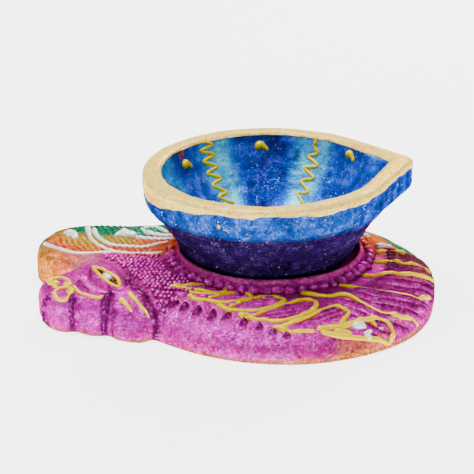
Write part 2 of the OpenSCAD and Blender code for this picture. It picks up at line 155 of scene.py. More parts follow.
# Raised paint on the plaque, by CAD node: (paint, width, lines), and for each line its points and
# its width along them as shares of that width.
PLAQUE_PAINT = {
    "eye_outline": ("yellow", 1.2, [
        ([(-54, -15.5), (-51.5, -18.5), (-49, -21.5), (-45.5, -25.5), (-45, -30), (-48.5, -27),
          (-52, -21.5), (-53.8, -16.5)], [1.3, 1.1, 1, 1, 1.1, 1, 0.9, 1]),
    ]),
    "eye_pupil": ("white", 1.8, [
        ([(-50, -22.5), (-49, -24), (-47.8, -25.7)], [0.8, 1.2, 0.9]),
    ]),
    "upper_crest_curl": ("yellow", 1.3, [
        ([(-67.5, -21), (-66.5, -19), (-64.5, -18.5), (-62.5, -19.5), (-61, -22), (-60.5, -24.5),
          (-61.5, -25), (-62, -23)], [1.7, 1.4, 1, 0.9, 0.9, 1, 1.1, 1]),
        ([(-67.5, -21.5), (-65.5, -22.5), (-64, -24)], [1.5, 1.9, 1.6]),
    ]),
    "lower_crest_curl": ("yellow", 1.3, [
        ([(-65.5, -23.5), (-64, -26), (-61, -26.5), (-57, -31), (-54, -33), (-50.5, -35),
          (-49.3, -34.3)], [1.2, 1, 0.9, 0.9, 0.9, 1.2, 1.4]),
        ([(-63.5, -26.5), (-64.8, -28), (-64.5, -30.5), (-63, -33), (-60.5, -34), (-59, -32.5),
          (-59.5, -30.5), (-61, -30.5)], [0.9, 1, 1, 1, 1, 1, 1.1, 1.4]),
    ]),
    "beak_strokes": ("yellow", 1.5, [
        ([(-41.5, -33), (-41, -34.5), (-39.5, -36), (-38, -37.5), (-36.5, -39), (-35.3, -41)],
         [1.25, 1.1, 0.8, 0.7, 0.6, 0.45]),
        ([(-44.5, -35), (-43.5, -36), (-42, -37.5), (-40.5, -39)], [1.2, 1.1, 0.8, 0.4]),
    ]),
    "feather_loops": ("yellow", 1.5, [
        ([(-30, -27), (-27, -26.5), (-24.5, -26.3), (-19, -25.3), (-14.5, -26.7), (-12, -29.5),
          (-16, -30.5), (-23, -28.7), (-28, -27.5)], [1.3, 1.3, 1, 0.9, 0.9, 1.1, 1, 0.9, 0.9]),
        ([(-26, -28.5), (-19.5, -31.3), (-13.5, -31.3)], [0.6, 0.9, 0.8]),
        ([(-23.8, -32.3), (-21.5, -34.7), (-18.5, -36), (-11.5, -37.3), (-5.5, -35), (-5, -32.5),
          (-8.5, -31), (-13, -32), (-18, -35)], [1.5, 1.4, 1, 1, 1.1, 1, 0.9, 1, 0.9]),
        ([(-15, -38.7), (-12.5, -40.8), (-9.5, -42), (-2, -42.3), (4, -39), (5, -36), (2, -33.7),
          (-1, -33.7), (-6.5, -36.7), (-11.5, -40.5)], [1.5, 1.4, 1, 1, 1.1, 1, 1, 0.9, 0.9, 0.9]),
        ([(-8.5, -44.3), (-6, -46), (-3, -47), (5, -48), (12.5, -43.7), (14.8, -39), (12.5, -36.5),
          (8.5, -37.7), (3.5, -40.7), (-3.5, -44.7), (-7, -44.8)],
         [1.5, 1.4, 1, 1, 1, 1.1, 1, 0.9, 0.9, 0.9, 1]),
        ([(1.5, -49.7), (4, -51), (8, -52.5), (14, -52)], [1.6, 1.5, 1, 0.9]),
        ([(4, -50.5), (11.5, -46.7), (16, -42.3), (19, -39.7), (21.5, -39.2), (24.3, -41.5),
          (23, -45), (21.5, -48)], [1.2, 1, 1, 1.1, 1.2, 1.1, 1, 1.1]),
    ]),
    "wing_paisley": ("yellow", 1.5, [
        ([(14.5, -51), (18, -49.7), (21.5, -48.7), (26, -46), (30.5, -43.7), (34, -42.7),
          (37, -43.7), (37.7, -45.2), (36.5, -46.7), (34, -48.3), (30, -49.7), (25.5, -51),
          (20.5, -52), (15.5, -51.8)],
         [1.1, 1.4, 1.5, 1.3, 1.3, 0.9, 0.8, 0.9, 1, 1, 1.1, 1, 1.4, 1.2]),
        ([(30.5, -43.7), (32.5, -45)], [1.3, 0.9]),
        ([(19.5, -51), (22, -50.3), (25, -50)], [1.6, 1.5, 0.9]),
    ]),
    "paisley_filling": ("white", 2.3, [
        ([(25, -47.7), (27.3, -46.5), (29.5, -46.3)], [1.1, 1.4, 0.9]),
        ([(29.3, -50.3), (30.2, -48.5)], [1.3, 0.8]),
        ([(33.5, -44.7), (34.2, -45.6)], [1, 0.8]),
        ([(28.5, -49), (31, -47.5)], [0.5, 0.6]),
    ]),
    "tail_lines": ("yellow", 1.5, [
        ([(35.5, 1.3), (37.5, 2.5), (40.5, 4), (45.5, 4.5)], [1.3, 1.2, 1.2, 0.9]),
        ([(34.3, -6.3), (36.5, -6.3), (39.5, -5.3), (43, -4.7), (46.5, -2.3), (50, -0.5), (53, -2)],
         [0.8, 1.1, 1.1, 1, 1.1, 1.1, 1]),
        ([(29.7, -17.7), (32.5, -17), (35.5, -16.7), (39, -14.7), (42, -13.7), (49, -10.7),
          (53.5, -7)], [1.2, 1, 0.9, 0.8, 1, 1.1, 1]),
        ([(22, -25.5), (24, -25.7), (29.5, -26.7), (33.5, -26.2), (37.5, -26.2), (44.5, -25.7),
          (47.5, -24.2), (51, -20.7)], [1.4, 1.1, 0.9, 0.9, 1, 1, 1, 0.9]),
        ([(11, -30.8), (11.7, -32.3), (18, -33.7), (21.5, -32.5), (24.5, -32.7), (27.5, -34.2),
          (33, -37.7), (37, -38.7), (41, -38.2), (46, -35.2)],
         [1.7, 1.3, 1, 1, 1, 1, 1, 1, 1, 0.9]),
    ]),
    "neck_line": ("white", 1.4, [
        ([(-33, 2), (-35.5, 1), (-42, 1.5), (-47.5, 2.5), (-53, 2), (-59, 1.5), (-63, 3.2),
          (-66.5, 6.3), (-70, 9.8), (-72.3, 13.3)], [1.1, 1.2, 1, 1.1, 1, 1, 1.1, 1, 1.1, 1.2]),
    ]),
    "train_leaf_lines": ("white", 1.4, [
        ([(-59, 25), (-58, 19), (-56.5, 13), (-53.5, 8), (-50.5, 4.7), (-47.5, 3)],
         [1.3, 1.2, 1, 1, 0.9, 0.8]),
        ([(-56.8, 23), (-55.5, 18), (-53.5, 14), (-51.5, 10.5), (-48.5, 8.5), (-44, 7.5),
          (-38.5, 7.5), (-35, 9), (-31.5, 11.5)], [1.2, 1.2, 1.1, 1.1, 1, 1, 1, 1, 0.8]),
        ([(-47.5, 22.5), (-45, 20.5), (-43.5, 18), (-41.5, 16), (-37.5, 14.5), (-32.5, 14),
          (-29.5, 14)], [1.4, 1.4, 1.2, 1.1, 1, 1, 0.9]),
        ([(-41, 24.5), (-39.5, 21.5), (-38, 19.5), (-35.5, 18), (-33, 17), (-30, 16.5)],
         [1.2, 1.3, 1.4, 1.3, 1.2, 1.2]),
        ([(-40, 24.5), (-38, 26), (-35.5, 25.5), (-33.5, 22.5), (-32, 20)], [1, 1, 1, 1, 1]),
        ([(-28, 35), (-26.5, 31.5), (-22.5, 31.2), (-19, 33.5), (-17, 37.5)], [1.2, 1, 1, 1, 1.1]),
        ([(-8, 40), (-7, 37), (-2, 36.4), (2, 37.8), (3, 40.6)], [1.2, 1, 1, 1, 1.1]),
        ([(13, 39), (14.5, 36), (18.5, 34), (22, 35.2), (23.5, 37.5)], [1.2, 1, 1, 1, 1.1]),
    ]),
    "train_drops": ("white", 2.6, [
        ([(-49, 16), (-47, 19), (-44.5, 19.5)], [0.7, 1.2, 0.9]),
        ([(-47, 17.2), (-44, 17.5), (-42, 16)], [1, 1.1, 0.7]),
        ([(-66.5, 19.5), (-64, 20), (-62.8, 18), (-62.3, 14.7)], [0.8, 1.1, 1, 0.6]),
        ([(-65.5, 17.8), (-64, 18)], [0.8, 0.8]),
        ([(32, 16.3), (34.7, 18.3)], [0.9, 0.9]),
        ([(36, 7), (38, 8.7), (41.5, 9.7)], [1, 0.9, 0.4]),
        ([(-23.5, 34.5), (-22.5, 36.5)], [0.8, 0.7]),
        ([(-3, 38.8), (-2, 40.3)], [0.8, 0.7]),
        ([(18, 36.7), (18.7, 38.4)], [0.8, 0.7]),
    ]),
}


# -------------------------------------------- small helpers


def to_linear(colour):
    """A screen colour, each channel from 0 to 1, as the linear light value that shaders take."""
    c = np.asarray(colour, float)
    return np.where(c <= 0.04045, c / 12.92, ((c + 0.055) / 1.055) ** 2.4)


def smooth(low, high, value):
    """0 below low, 1 above high, and a soft step between."""
    t = np.clip((value - low) / (high - low), 0, 1)
    return t * t * (3 - 2 * t)


def spline(points, steps, closed=False):
    """Points on a smooth curve through the given points, steps of them for each span."""
    p = np.asarray(points, float)
    n = len(p)
    spans = n if closed else n - 1
    out = []
    for i in range(spans):
        if closed:
            a, b, c, d = p[i - 1], p[i], p[(i + 1) % n], p[(i + 2) % n]
        else:
            a, b, c, d = p[max(i - 1, 0)], p[i], p[i + 1], p[min(i + 2, n - 1)]
        for t in np.arange(steps) / steps:
            out.append(0.5 * (2 * b + (c - a) * t + (2 * a - 5 * b + 4 * c - d) * t**2
                              + (3 * b - a - 3 * c + d) * t**3))
    if not closed:
        out.append(p[-1])
    return np.array(out)


def lumps(points, size, seed):
    """Smooth random lumps from -1 to 1 at points, each lump about size across."""
    table = np.random.default_rng(seed).uniform(-1, 1, (32, 32, 32))
    q = np.asarray(points, float) / size
    cell = np.floor(q).astype(int)
    f = q - cell
    f = f * f * (3 - 2 * f)
    total = 0
    for corner in np.ndindex(2, 2, 2):
        weight = np.prod(np.where(corner, f, 1 - f), axis=-1)
        i, j, k = np.moveaxis((cell + corner) % 32, -1, 0)
        total = total + weight * table[i, j, k]
    return total


def line_distance(x, y, points):
    """Distance from each place to a line through points."""
    p = np.asarray(points, float)
    best = np.full(np.shape(x), 1e9)
    for a, b in zip(p[:-1], p[1:]):
        run = b - a
        t = np.clip(((x - a[0]) * run[0] + (y - a[1]) * run[1]) / (run @ run), 0, 1)
        best = np.minimum(best, np.hypot(x - a[0] - t * run[0], y - a[1] - t * run[1]))
    return best


def patch(x, y, corners, soft):
    """1 well inside the closed outline through corners, 0 outside, soft across its edge."""
    p = np.asarray(corners, float)
    inside = np.zeros(np.shape(x), bool)
    for a, b in zip(p, np.roll(p, -1, axis=0)):
        crosses = (a[1] > y) != (b[1] > y)
        with np.errstate(divide="ignore", invalid="ignore"):
            at = a[0] + (y - a[1]) * (b[0] - a[0]) / (b[1] - a[1])
        inside ^= crosses & (x < at)
    away = line_distance(x, y, np.vstack([p, p[:1]]))
    return smooth(-soft, soft, np.where(inside, away, -away))


def normals_of(grid):
    """Unit normals of a grid of points, rows along the first index and closed along the second."""
    along = np.gradient(grid, axis=0)
    around = np.roll(grid, -1, axis=1) - np.roll(grid, 1, axis=1)
    n = np.cross(along, around)
    return n / np.maximum(np.linalg.norm(n, axis=-1, keepdims=True), 1e-9)


def new_piece(name, verts, faces, material, body, nodes, colours=None, relief=None):
    """A mesh object from points in millimetres, with its paint and relief stored on its points."""
    mesh = bpy.data.meshes.new(name)
    mesh.from_pydata([tuple(v) for v in np.asarray(verts) * MM], [], faces)
    mesh.validate()
    mesh.polygons.foreach_set("use_smooth", [True] * len(mesh.polygons))
    mesh.materials.append(material)
    obj = bpy.data.objects.new(name, mesh)
    bpy.context.scene.collection.objects.link(obj)
    store(obj, colours, relief)
    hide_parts(*nodes)
    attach(obj, body)
    return obj


def keep(mesh, name, kind, values):
    """Keeps one value for each point of a mesh as a named attribute."""
    field = {"FLOAT_COLOR": "color", "FLOAT_VECTOR": "vector", "FLOAT": "value"}[kind]
    mesh.attributes.new(name, kind, "POINT").data.foreach_set(field, np.float32(values).ravel())


def store(obj, colours=None, relief=None):
    """Keeps each point's paint, the pearl that shines on that paint (a lit copy of it, for pale
    clouds and painted highlights), and its relief, by which the pearl paint lays painted shade in
    hollows and painted highlight on ridges.
    """
    mesh = obj.data
    if colours is not None:
        rgba = np.ones((len(mesh.vertices), 4), np.float32)
        rgba[:, :3] = colours
        keep(mesh, "paint", "FLOAT_COLOR", rgba)
        light = rgba[:, :3]
        white = light.max(axis=1, keepdims=True)
        rgba[:, :3] = np.clip(PEARL_LIGHT * light + PEARL_WHITE * white, 0, 1)
        keep(mesh, "pearl", "FLOAT_COLOR", rgba)
    if relief is not None:
        keep(mesh, "relief", "FLOAT", relief)


def grid_faces(rows, columns):
    """Outward quads of a grid closed along its columns."""
    r, c = np.meshgrid(np.arange(rows - 1), np.arange(columns), indexing="ij")
    here, below, beside = r * columns, (r + 1) * columns, (c + 1) % columns
    quads = np.stack([here + beside, below + beside, below + c, here + c], -1)
    return [tuple(q) for q in quads.reshape(-1, 4).tolist()]


def capped_faces(rows, columns):
    """The faces of such a grid with its first and its last row closed."""
    last = (rows - 1) * columns
    ends = [tuple(range(columns)), tuple(last + i for i in reversed(range(columns)))]
    return grid_faces(rows, columns) + ends


def coats(first, count, colour):
    """The first paint at count points, and a function that lays another over it by amounts."""
    paint = {name: to_linear(value) for name, value in colour.items()}
    result = np.tile(paint[first], (count, 1))

    def lay(name, amount):
        amount = np.clip(amount, 0, 1)[:, None]
        result[:] = result * (1 - amount) + paint[name] * amount

    return result, lay


# -------------------------------------------- materials


def material(name):
    """A new node material and its nodes, links and Principled shader."""
    mat = bpy.data.materials.new(name)
    mat.use_nodes = True
    nodes, links = mat.node_tree.nodes, mat.node_tree.links
    return mat, nodes, links, nodes["Principled BSDF"]


def noise_node(nodes, links, scale, detail=3.0, rough=0.55, distort=0.0, stretch=None):
    """A noise texture on object coordinates, with scale in features for each metre."""
    coords = nodes.new("ShaderNodeTexCoord")
    tex = nodes.new("ShaderNodeTexNoise")
    tex.inputs["Scale"].default_value = scale
    tex.inputs["Detail"].default_value = detail
    tex.inputs["Roughness"].default_value = rough
    tex.inputs["Distortion"].default_value = distort
    if stretch:
        place = nodes.new("ShaderNodeMapping")
        place.inputs["Scale"].default_value = stretch
        links.new(coords.outputs["Object"], place.inputs["Vector"])
        links.new(place.outputs["Vector"], tex.inputs["Vector"])
    else:
        links.new(coords.outputs["Object"], tex.inputs["Vector"])
    return tex.outputs["Fac"]


def span(nodes, links, value, low, high, to_low=0.0, to_high=1.0):
    """Maps low..high to to_low..to_high, clamped."""
    node = nodes.new("ShaderNodeMapRange")
    limits = {"From Min": low, "From Max": high, "To Min": to_low, "To Max": to_high}
    for name, number in limits.items():
        node.inputs[name].default_value = number
    links.new(value, node.inputs["Value"])
    return node.outputs["Result"]


def maths(nodes, links, kind, a, b):
    """One maths node on two values, either of which may be a number."""
    node = nodes.new("ShaderNodeMath")
    node.operation = kind
    for socket, value in zip(node.inputs, (a, b)):
        if isinstance(value, (int, float)):
            socket.default_value = value
        else:
            links.new(value, socket)
    return node.outputs[0]


def mix(nodes, links, factor, a, b, kind="MIX"):
    """Mixes two colours, each a socket or an (r, g, b)."""
    node = nodes.new("ShaderNodeMix")
    node.data_type = "RGBA"
    node.blend_type = kind
    if isinstance(factor, (int, float)):
        node.inputs["Factor"].default_value = factor
    else:
        links.new(factor, node.inputs["Factor"])
    for socket, value in ((node.inputs[6], a), (node.inputs[7], b)):
        if isinstance(value, bpy.types.NodeSocket):
            links.new(value, socket)
        else:
            socket.default_value = (*value, 1)
    return node.outputs[2]


def bump(nodes, links, shader, height, distance, strength=1.0):
    """Feeds a height into the shader's normal; distance is in millimetres."""
    node = nodes.new("ShaderNodeBump")
    node.inputs["Strength"].default_value = strength
    node.inputs["Distance"].default_value = distance * MM
    links.new(height, node.inputs["Height"])
    links.new(node.outputs["Normal"], shader.inputs["Normal"])


def stored(nodes, name):
    """Outputs of the attribute that the mesh keeps under a name."""
    node = nodes.new("ShaderNodeAttribute")
    node.attribute_name = name
    return node.outputs


def painting(nodes, links):
    """Short forms of the nodes that a paint is built from: a part of a value, a product, a coat."""

    def part(value, *limits):
        return span(nodes, links, value, *limits)

    def times(a, b):
        return maths(nodes, links, "MULTIPLY", a, b)

    def coat(under, amount, over):
        return mix(nodes, links, amount, under, over)

    return part, times, coat


def tint(links, shader, base, metallic):
    """Gives a shader its colour, which also tints its gloss, and turns its plain glare off."""
    links.new(base, shader.inputs["Base Color"])
    links.new(base, shader.inputs["Specular Tint"])
    shader.inputs["Metallic"].default_value = metallic
    shader.inputs["Specular IOR Level"].default_value = 0.0


def pearl_paint(name, glint_amount, cloud, fibre_amount, fibre_scale):
    """Brushed pearl paint over clay: the stored colour in clouds, pale on ridges as a painted
    highlight and dark in creases as painted shade, with pale specks of painted glint, dark specks
    of painted shade in the grain's pits, and white fibres."""
    mat, nodes, links, shader = material(name)
    part, times, coat = painting(nodes, links)
    paint, pearl = stored(nodes, "paint")["Color"], stored(nodes, "pearl")["Color"]
    rise = stored(nodes, "relief")["Fac"]
    grain = noise_node(nodes, links, 1150, 3, 0.6)
    clouds = noise_node(nodes, links, 260, 5, 0.7, 0.6)
    # The darkened paint: darker clouds, and the painted shade in creases and pits.
    deep = mix(nodes, links, 1.0, paint, CLOUD_AND_SHADE_TINT, "MULTIPLY")
    base = coat(paint, part(clouds, 0.49, 0.36, 0.0, cloud), deep)
    base = coat(base, part(clouds, 0.52, 0.66, 0.0, cloud), pearl)
    # Painted shade in the creases, where the stored relief is low.
    base = coat(base, part(rise, -0.65, -0.05, 0.92, 0.0), deep)
    # Painted highlight on the ridges, where the stored relief is high.
    base = coat(base, part(rise, 0.05, 0.5, 0.0, 0.8), pearl)
    raised = part(rise, -0.1, 0.5, 0.3, 1.0)
    # Painted glints: pale pearl specks on the raised grain.
    shine = mix(nodes, links, 0.4, pearl, GLINT_TINT)
    base = coat(base, times(raised, part(grain, 0.52, 0.66, 0.0, glint_amount)), shine)
    # Painted shade in the pits of the fine grain, which the bump also sinks.
    base = coat(base, times(raised, part(grain, 0.47, 0.36, 0.0, 0.6)), deep)
    fibres = times(part(noise_node(nodes, links, fibre_scale, 2, 0.5, 1.6), 0.66, 0.72),
                   part(noise_node(nodes, links, fibre_scale / 6, 2), 0.42, 0.6))
    base = coat(base, times(fibres, fibre_amount), FIBRE_WHITE)
    tint(links, shader, base, 0.45)
    links.new(part(grain, 0.3, 0.7, 0.42, 0.22), shader.inputs["Roughness"])
    height = maths(nodes, links, "ADD", times(grain, 0.6), noise_node(nodes, links, 420, 5, 0.65))
    bump(nodes, links, shader, height, 0.5, 0.9)
    return mat


def relief_paint(name, colour, shade):
    """Thick paint squeezed from a cone: glossy, uneven, and of another shade where it is thin."""
    mat, nodes, links, shader = material(name)
    part, _, coat = painting(nodes, links)
    thin = noise_node(nodes, links, 420, 3)
    tint(links, shader, coat(colour, part(thin, 0.38, 0.62, 0.0, 0.55), shade), 0.3)
    links.new(part(thin, 0.3, 0.7, 0.25, 0.4), shader.inputs["Roughness"])
    bump(nodes, links, shader, noise_node(nodes, links, 900, 4, 0.6), 0.2, 0.6)
    return mat


def gilt_paint(name, colour, shade):
    """Metallic gold paint brushed round a rim: streaks along it, clay showing faintly through, and
    painted glints in bright specks.
    """
    mat, nodes, links, shader = material(name)
    part, times, coat = painting(nodes, links)
    tex = nodes.new("ShaderNodeTexNoise")
    tex.inputs["Scale"].default_value = 1.0
    tex.inputs["Detail"].default_value = 4
    links.new(stored(nodes, "along")["Vector"], tex.inputs["Vector"])
    streaks = tex.outputs["Fac"]
    worn = noise_node(nodes, links, 420, 4, 0.65)
    sparkle = noise_node(nodes, links, 1300, 2, 0.6)
    base = coat(colour, part(streaks, 0.45, 0.70, 0.0, 0.7), shade)
    base = coat(base, part(worn, 0.56, 0.70, 0.0, 0.6), WORN_GILT)
    # Bright specks: painted glints of the metal.
    base = coat(base, part(sparkle, 0.55, 0.68, 0.0, 0.7), GILT_GLINT)
    base = coat(base, part(sparkle, 0.42, 0.32, 0.0, 0.5), DARK_GILT)
    tint(links, shader, base, 0.2)
    links.new(part(streaks, 0.3, 0.7, 0.2, 0.4), shader.inputs["Roughness"])
    bump(nodes, links, shader, maths(nodes, links, "ADD", streaks, times(worn, 0.6)), 0.3, 0.8)
    return mat


# -------------------------------------------- the plaque's shape


def edge_table():
    """The plaque's edge as turn, radius and form about the plaque's middle, in order of turn."""
    edge = spline(OUTLINE, 24, closed=True)
    turn = np.arctan2(edge[:, 1], edge[:, 0])
    turn = np.where(turn < turn[0] - 1e-9, turn + 2 * math.pi, turn)
    radius = np.hypot(edge[:, 0], edge[:, 1])
    close = [turn[0] + 2 * math.pi]
    return (np.append(turn, close), np.append(radius, radius[0]), np.append(edge[:, 2], edge[0, 2]))


def head_rise(x, y):
    """Height of the head's rounded forms above the plaque's top."""
    total = 0
    for mx, my, way, half_long, half_wide, rise in HEAD_FORMS:
        c, s = math.cos(math.radians(way)), math.sin(math.radians(way))
        along, across = (x - mx) * c + (y - my) * s, (y - my) * c - (x - mx) * s
        total = total + rise * np.exp(-((along / half_long) ** 2) - (across / half_wide) ** 2)
    return total


def tail_ribs(x, y):
    """Ridges that run along the tail feathers, 1 on a ridge and 0 in a groove."""
    mids = np.array([np.interp(x, TAIL_X, row) for row in TAIL_Y])
    place = np.zeros(np.shape(x))
    for upper, lower in zip(mids[:-1], mids[1:]):
        place = place + np.clip((upper - y) / (upper - lower), 0, 1)
    spot = np.stack([x, 2.5 * y, 0 * x], -1)
    wander = 0.45 * lumps(spot, 14, 21) + 0.15 * lumps(spot, 6, 22)
    wave = 0.5 + 0.5 * np.cos(2 * math.pi * (3.4 * place + wander))
    return wave * (0.8 + 0.3 * lumps(spot, 9, 23))


def notches(x, y):
    """Leaf-shaped dents in a row along the shoulder, each with a raised rim."""
    total = np.zeros(np.shape(x))
    for top, foot in NOTCHES:
        mx, my = (top[0] + foot[0]) / 2, (top[1] + foot[1]) / 2
        run = math.hypot(top[0] - foot[0], top[1] - foot[1])
        ux, uy = (top[0] - foot[0]) / run, (top[1] - foot[1]) / run
        along, across = (x - mx) * ux + (y - my) * uy, (y - my) * ux - (x - mx) * uy
        far = np.hypot(along / (0.5 * run), (across - 0.1 * along**2) / 1.25)
        total += 1.0 * np.exp(-(((far - 1.25) / 0.3) ** 2)) - 1.5 * np.exp(-((far / 0.85) ** 4))
    return total


def creases(x, y):
    """Depth of the creases between the parts of the head, and rise of its ridges."""
    total = np.zeros(np.shape(x))
    for points, depth, wide in CREASES:
        total -= depth * np.exp(-((line_distance(x, y, spline(points, 6)) / wide) ** 2))
    return total


def pressed_detail(x, y, z):
    """Rise of the pressed pattern above the plain top, in millimetres: the head's creases, the
    bed of the scales, the tail's ribs, the train's barbs, the shoulder's dents and the wing's
    feathers, which lie inside the loops of paint."""
    upper = smooth(3.5, 7.0, z)
    total = creases(x, y)
    total -= 0.3 * upper * patch(x, y, SCALE_PATCH, 1.0)
    ring = np.hypot(x - SEAT_X, y)
    tail = smooth(36.5, 38.5, ring) * smooth(7, 20, x + 0.25 * y) * smooth(9, 5, y)
    tail = tail * smooth(1.2, 4.0, z) * smooth(-47, -42, y + 0.1 * x)
    total += tail * (1.7 * tail_ribs(x, y) - 0.85)
    barb_run = x + 0.35 * y + 0.7 * lumps(np.stack([x, y, 0 * x], -1), 6, 41)
    barbs = 0.5 * np.cos(2 * math.pi * barb_run / BARB_PITCH)
    train = patch(x, y, TRAIN_PATCH, 1.5) * smooth(10.0, 11.0, z)
    total += upper * train * 0.5 * barbs
    total += notches(x, y)
    for points, _ in PLAQUE_PAINT["feather_loops"][2]:
        loop = np.array(points[:-1], float)
        inside = patch(x, y, spline(loop, 4, closed=True), 0.7)
        way = loop[len(loop) // 2] - loop[0]
        way = way / np.linalg.norm(way)
        across = (y - loop[0][1]) * way[0] - (x - loop[0][0]) * way[1]
        total += inside * (0.15 + 0.6 * np.cos(2 * math.pi * across / BARB_PITCH))
    return total


def clay_lumps(points):
    """The unevenness that hand pressing leaves everywhere."""
    sizes = ((0.30, 13, 51), (0.16, 4.5, 52), (0.09, 1.7, 53), (0.05, 0.9, 54))
    return sum(height * lumps(points, size, seed) for height, size, seed in sizes)


def plaque_colours(p, colour):
    """Paint colour of the plaque at each point."""
    x, y, z = np.moveaxis(p, -1, 0)
    wander = 1.6 * lumps(p, 6, 61) + 0.7 * lumps(p, 2, 62)
    ring = np.hypot(x - SEAT_X, y)
    turn, radius, _ = edge_table()
    at = np.arctan2(y, x)
    at = np.where(at < turn[0], at + 2 * math.pi, at)
    rim = np.interp(at, turn, radius)
    out = (np.hypot(x, y) - 34) / (rim - 34)
    result, lay = coats("magenta", len(x), colour)

    # the rounded front, its lower edge and the beak
    shoulder = smooth(10.5, 8.5, z) * smooth(3.0, 7.0, z + 0.8 * wander)
    lay("pink", 0.9 * shoulder * smooth(-30, -36, y) * smooth(20, 5, x))
    lay("crimson", 0.7 * smooth(7, 4.5, z + wander) * smooth(0, 12, x) * smooth(-40, -48, y))
    lay("pink", 0.7 * smooth(-40, -44, x) * smooth(-30, -34, y + 0.3 * wander))

    # the neck and the wall below it at the left
    neck_y = np.interp(x, [-72, -66.5, -62.5, -59, -55, -50, -36, -30],
                       [12.5, 7.5, 4, 1, 0.5, 1.5, 0.8, 6])
    above = y - neck_y + 0.35 * wander
    train = smooth(-0.6, 0.8, above) * smooth(-20, -33, x)
    back = smooth(6, 12, y + 0.4 * wander) * smooth(-33, -20, x)
    back = np.maximum(back, smooth(2, 8, y + 0.5 * wander) * smooth(24, 32, x))
    wall = smooth(-48, -60, x) * smooth(-13, -5, y + 0.15 * (x + 60)) * (1 - train)
    lay("rose_clay", wall * 0.85)
    lay("orange", wall * smooth(-55, -67, x + 0.6 * wander))
    lay("olive", 0.5 * wall * smooth(-66, -72, x + 0.6 * wander))
    lay("olive", wall * smooth(-71, -77, x + 0.5 * wander))
    neck = smooth(-24, -29, x) * smooth(-52, -44, x) * (1 - train)
    lay("copper", 0.85 * smooth(-7, 3, y + wander) * neck)

    # the train and the back
    lay("orange", np.maximum(train, back))
    lay("copper", train * smooth(6, 1, above) * 0.7)
    lay("copper", 0.8 * train * smooth(-56, -46, x + wander))
    lay("olive", 0.85 * train * smooth(5, 10, above + wander) * smooth(-38, -46, x + wander))
    lay("teal", train * smooth(15, 18.5, above + 1.4 * wander) * smooth(10, 13, y + wander))
    lay("teal", train * smooth(-71, -74, x + wander))
    lay("teal", back * smooth(0.4, 0.6, out + 0.05 * wander))
    lay("rose_clay", smooth(11, 6, y) * smooth(-13, -3, y + wander) * smooth(30, 38, x) * 0.8)

    # round the seat, and the hem of the wing and the tail
    rear = smooth(-26, -31, x + 0.3 * wander) * smooth(-2, 4, y)
    rear = rear + smooth(27, 31, x) * smooth(-3, 4, y + 0.5 * wander)
    lay("copper", 0.8 * np.clip(rear, 0, 1) * smooth(38, 35, ring))
    # Paler rose on the lip's top: a painted highlight along its edge.
    lay("rose_clay", smooth(32.8, 29.5, ring) * smooth(13.4, 14.4, z + 0.2 * wander) * 0.4)
    front = smooth(-6, 6, x) * smooth(-30, -42, y)
    hem = smooth(2.2, 0.8, z + 0.5 * wander) * front
    worn = smooth(16, 24, x) * smooth(-42, -48, y) * smooth(40, 30, x)
    lay("orange", 0.75 * (hem + smooth(6.5, 3.5, z + wander) * worn))
    lay("olive", 0.6 * smooth(1.8, 0.6, z + 0.3 * wander) * front)
    lay("rose_clay", 0.6 * smooth(50.5, 53, x + 0.4 * wander) * smooth(-20, -8, y))

    # inside the seat, with painted shade low in it, the crease behind the eye with painted shade,
    # the eye and the bare underside
    in_seat = smooth(29.2, 28.4, ring)
    lay("magenta", in_seat * smooth(8, 2, y + wander))
    # Deep magenta low in the seat: painted shade in the recess under the cup.
    lay("deep", in_seat * smooth(9, 7.6, z) * smooth(20, 10, x) * 0.7)
    # Deep magenta along the crease behind the eye: painted shade.
    behind_eye = line_distance(x, y, [(-44, -15), (-42, -22), (-40.5, -29), (-36, -34)])
    lay("deep", 0.8 * np.exp(-((behind_eye / 2.2) ** 2)))
    eye = PLAQUE_PAINT["eye_outline"][2][0][0]
    lay("oxblood", patch(x, y, spline(eye[:-1], 6, closed=True), 0.4))
    lay("clay", smooth(1.1, 0.3, z + 0.25 * wander))
    return result


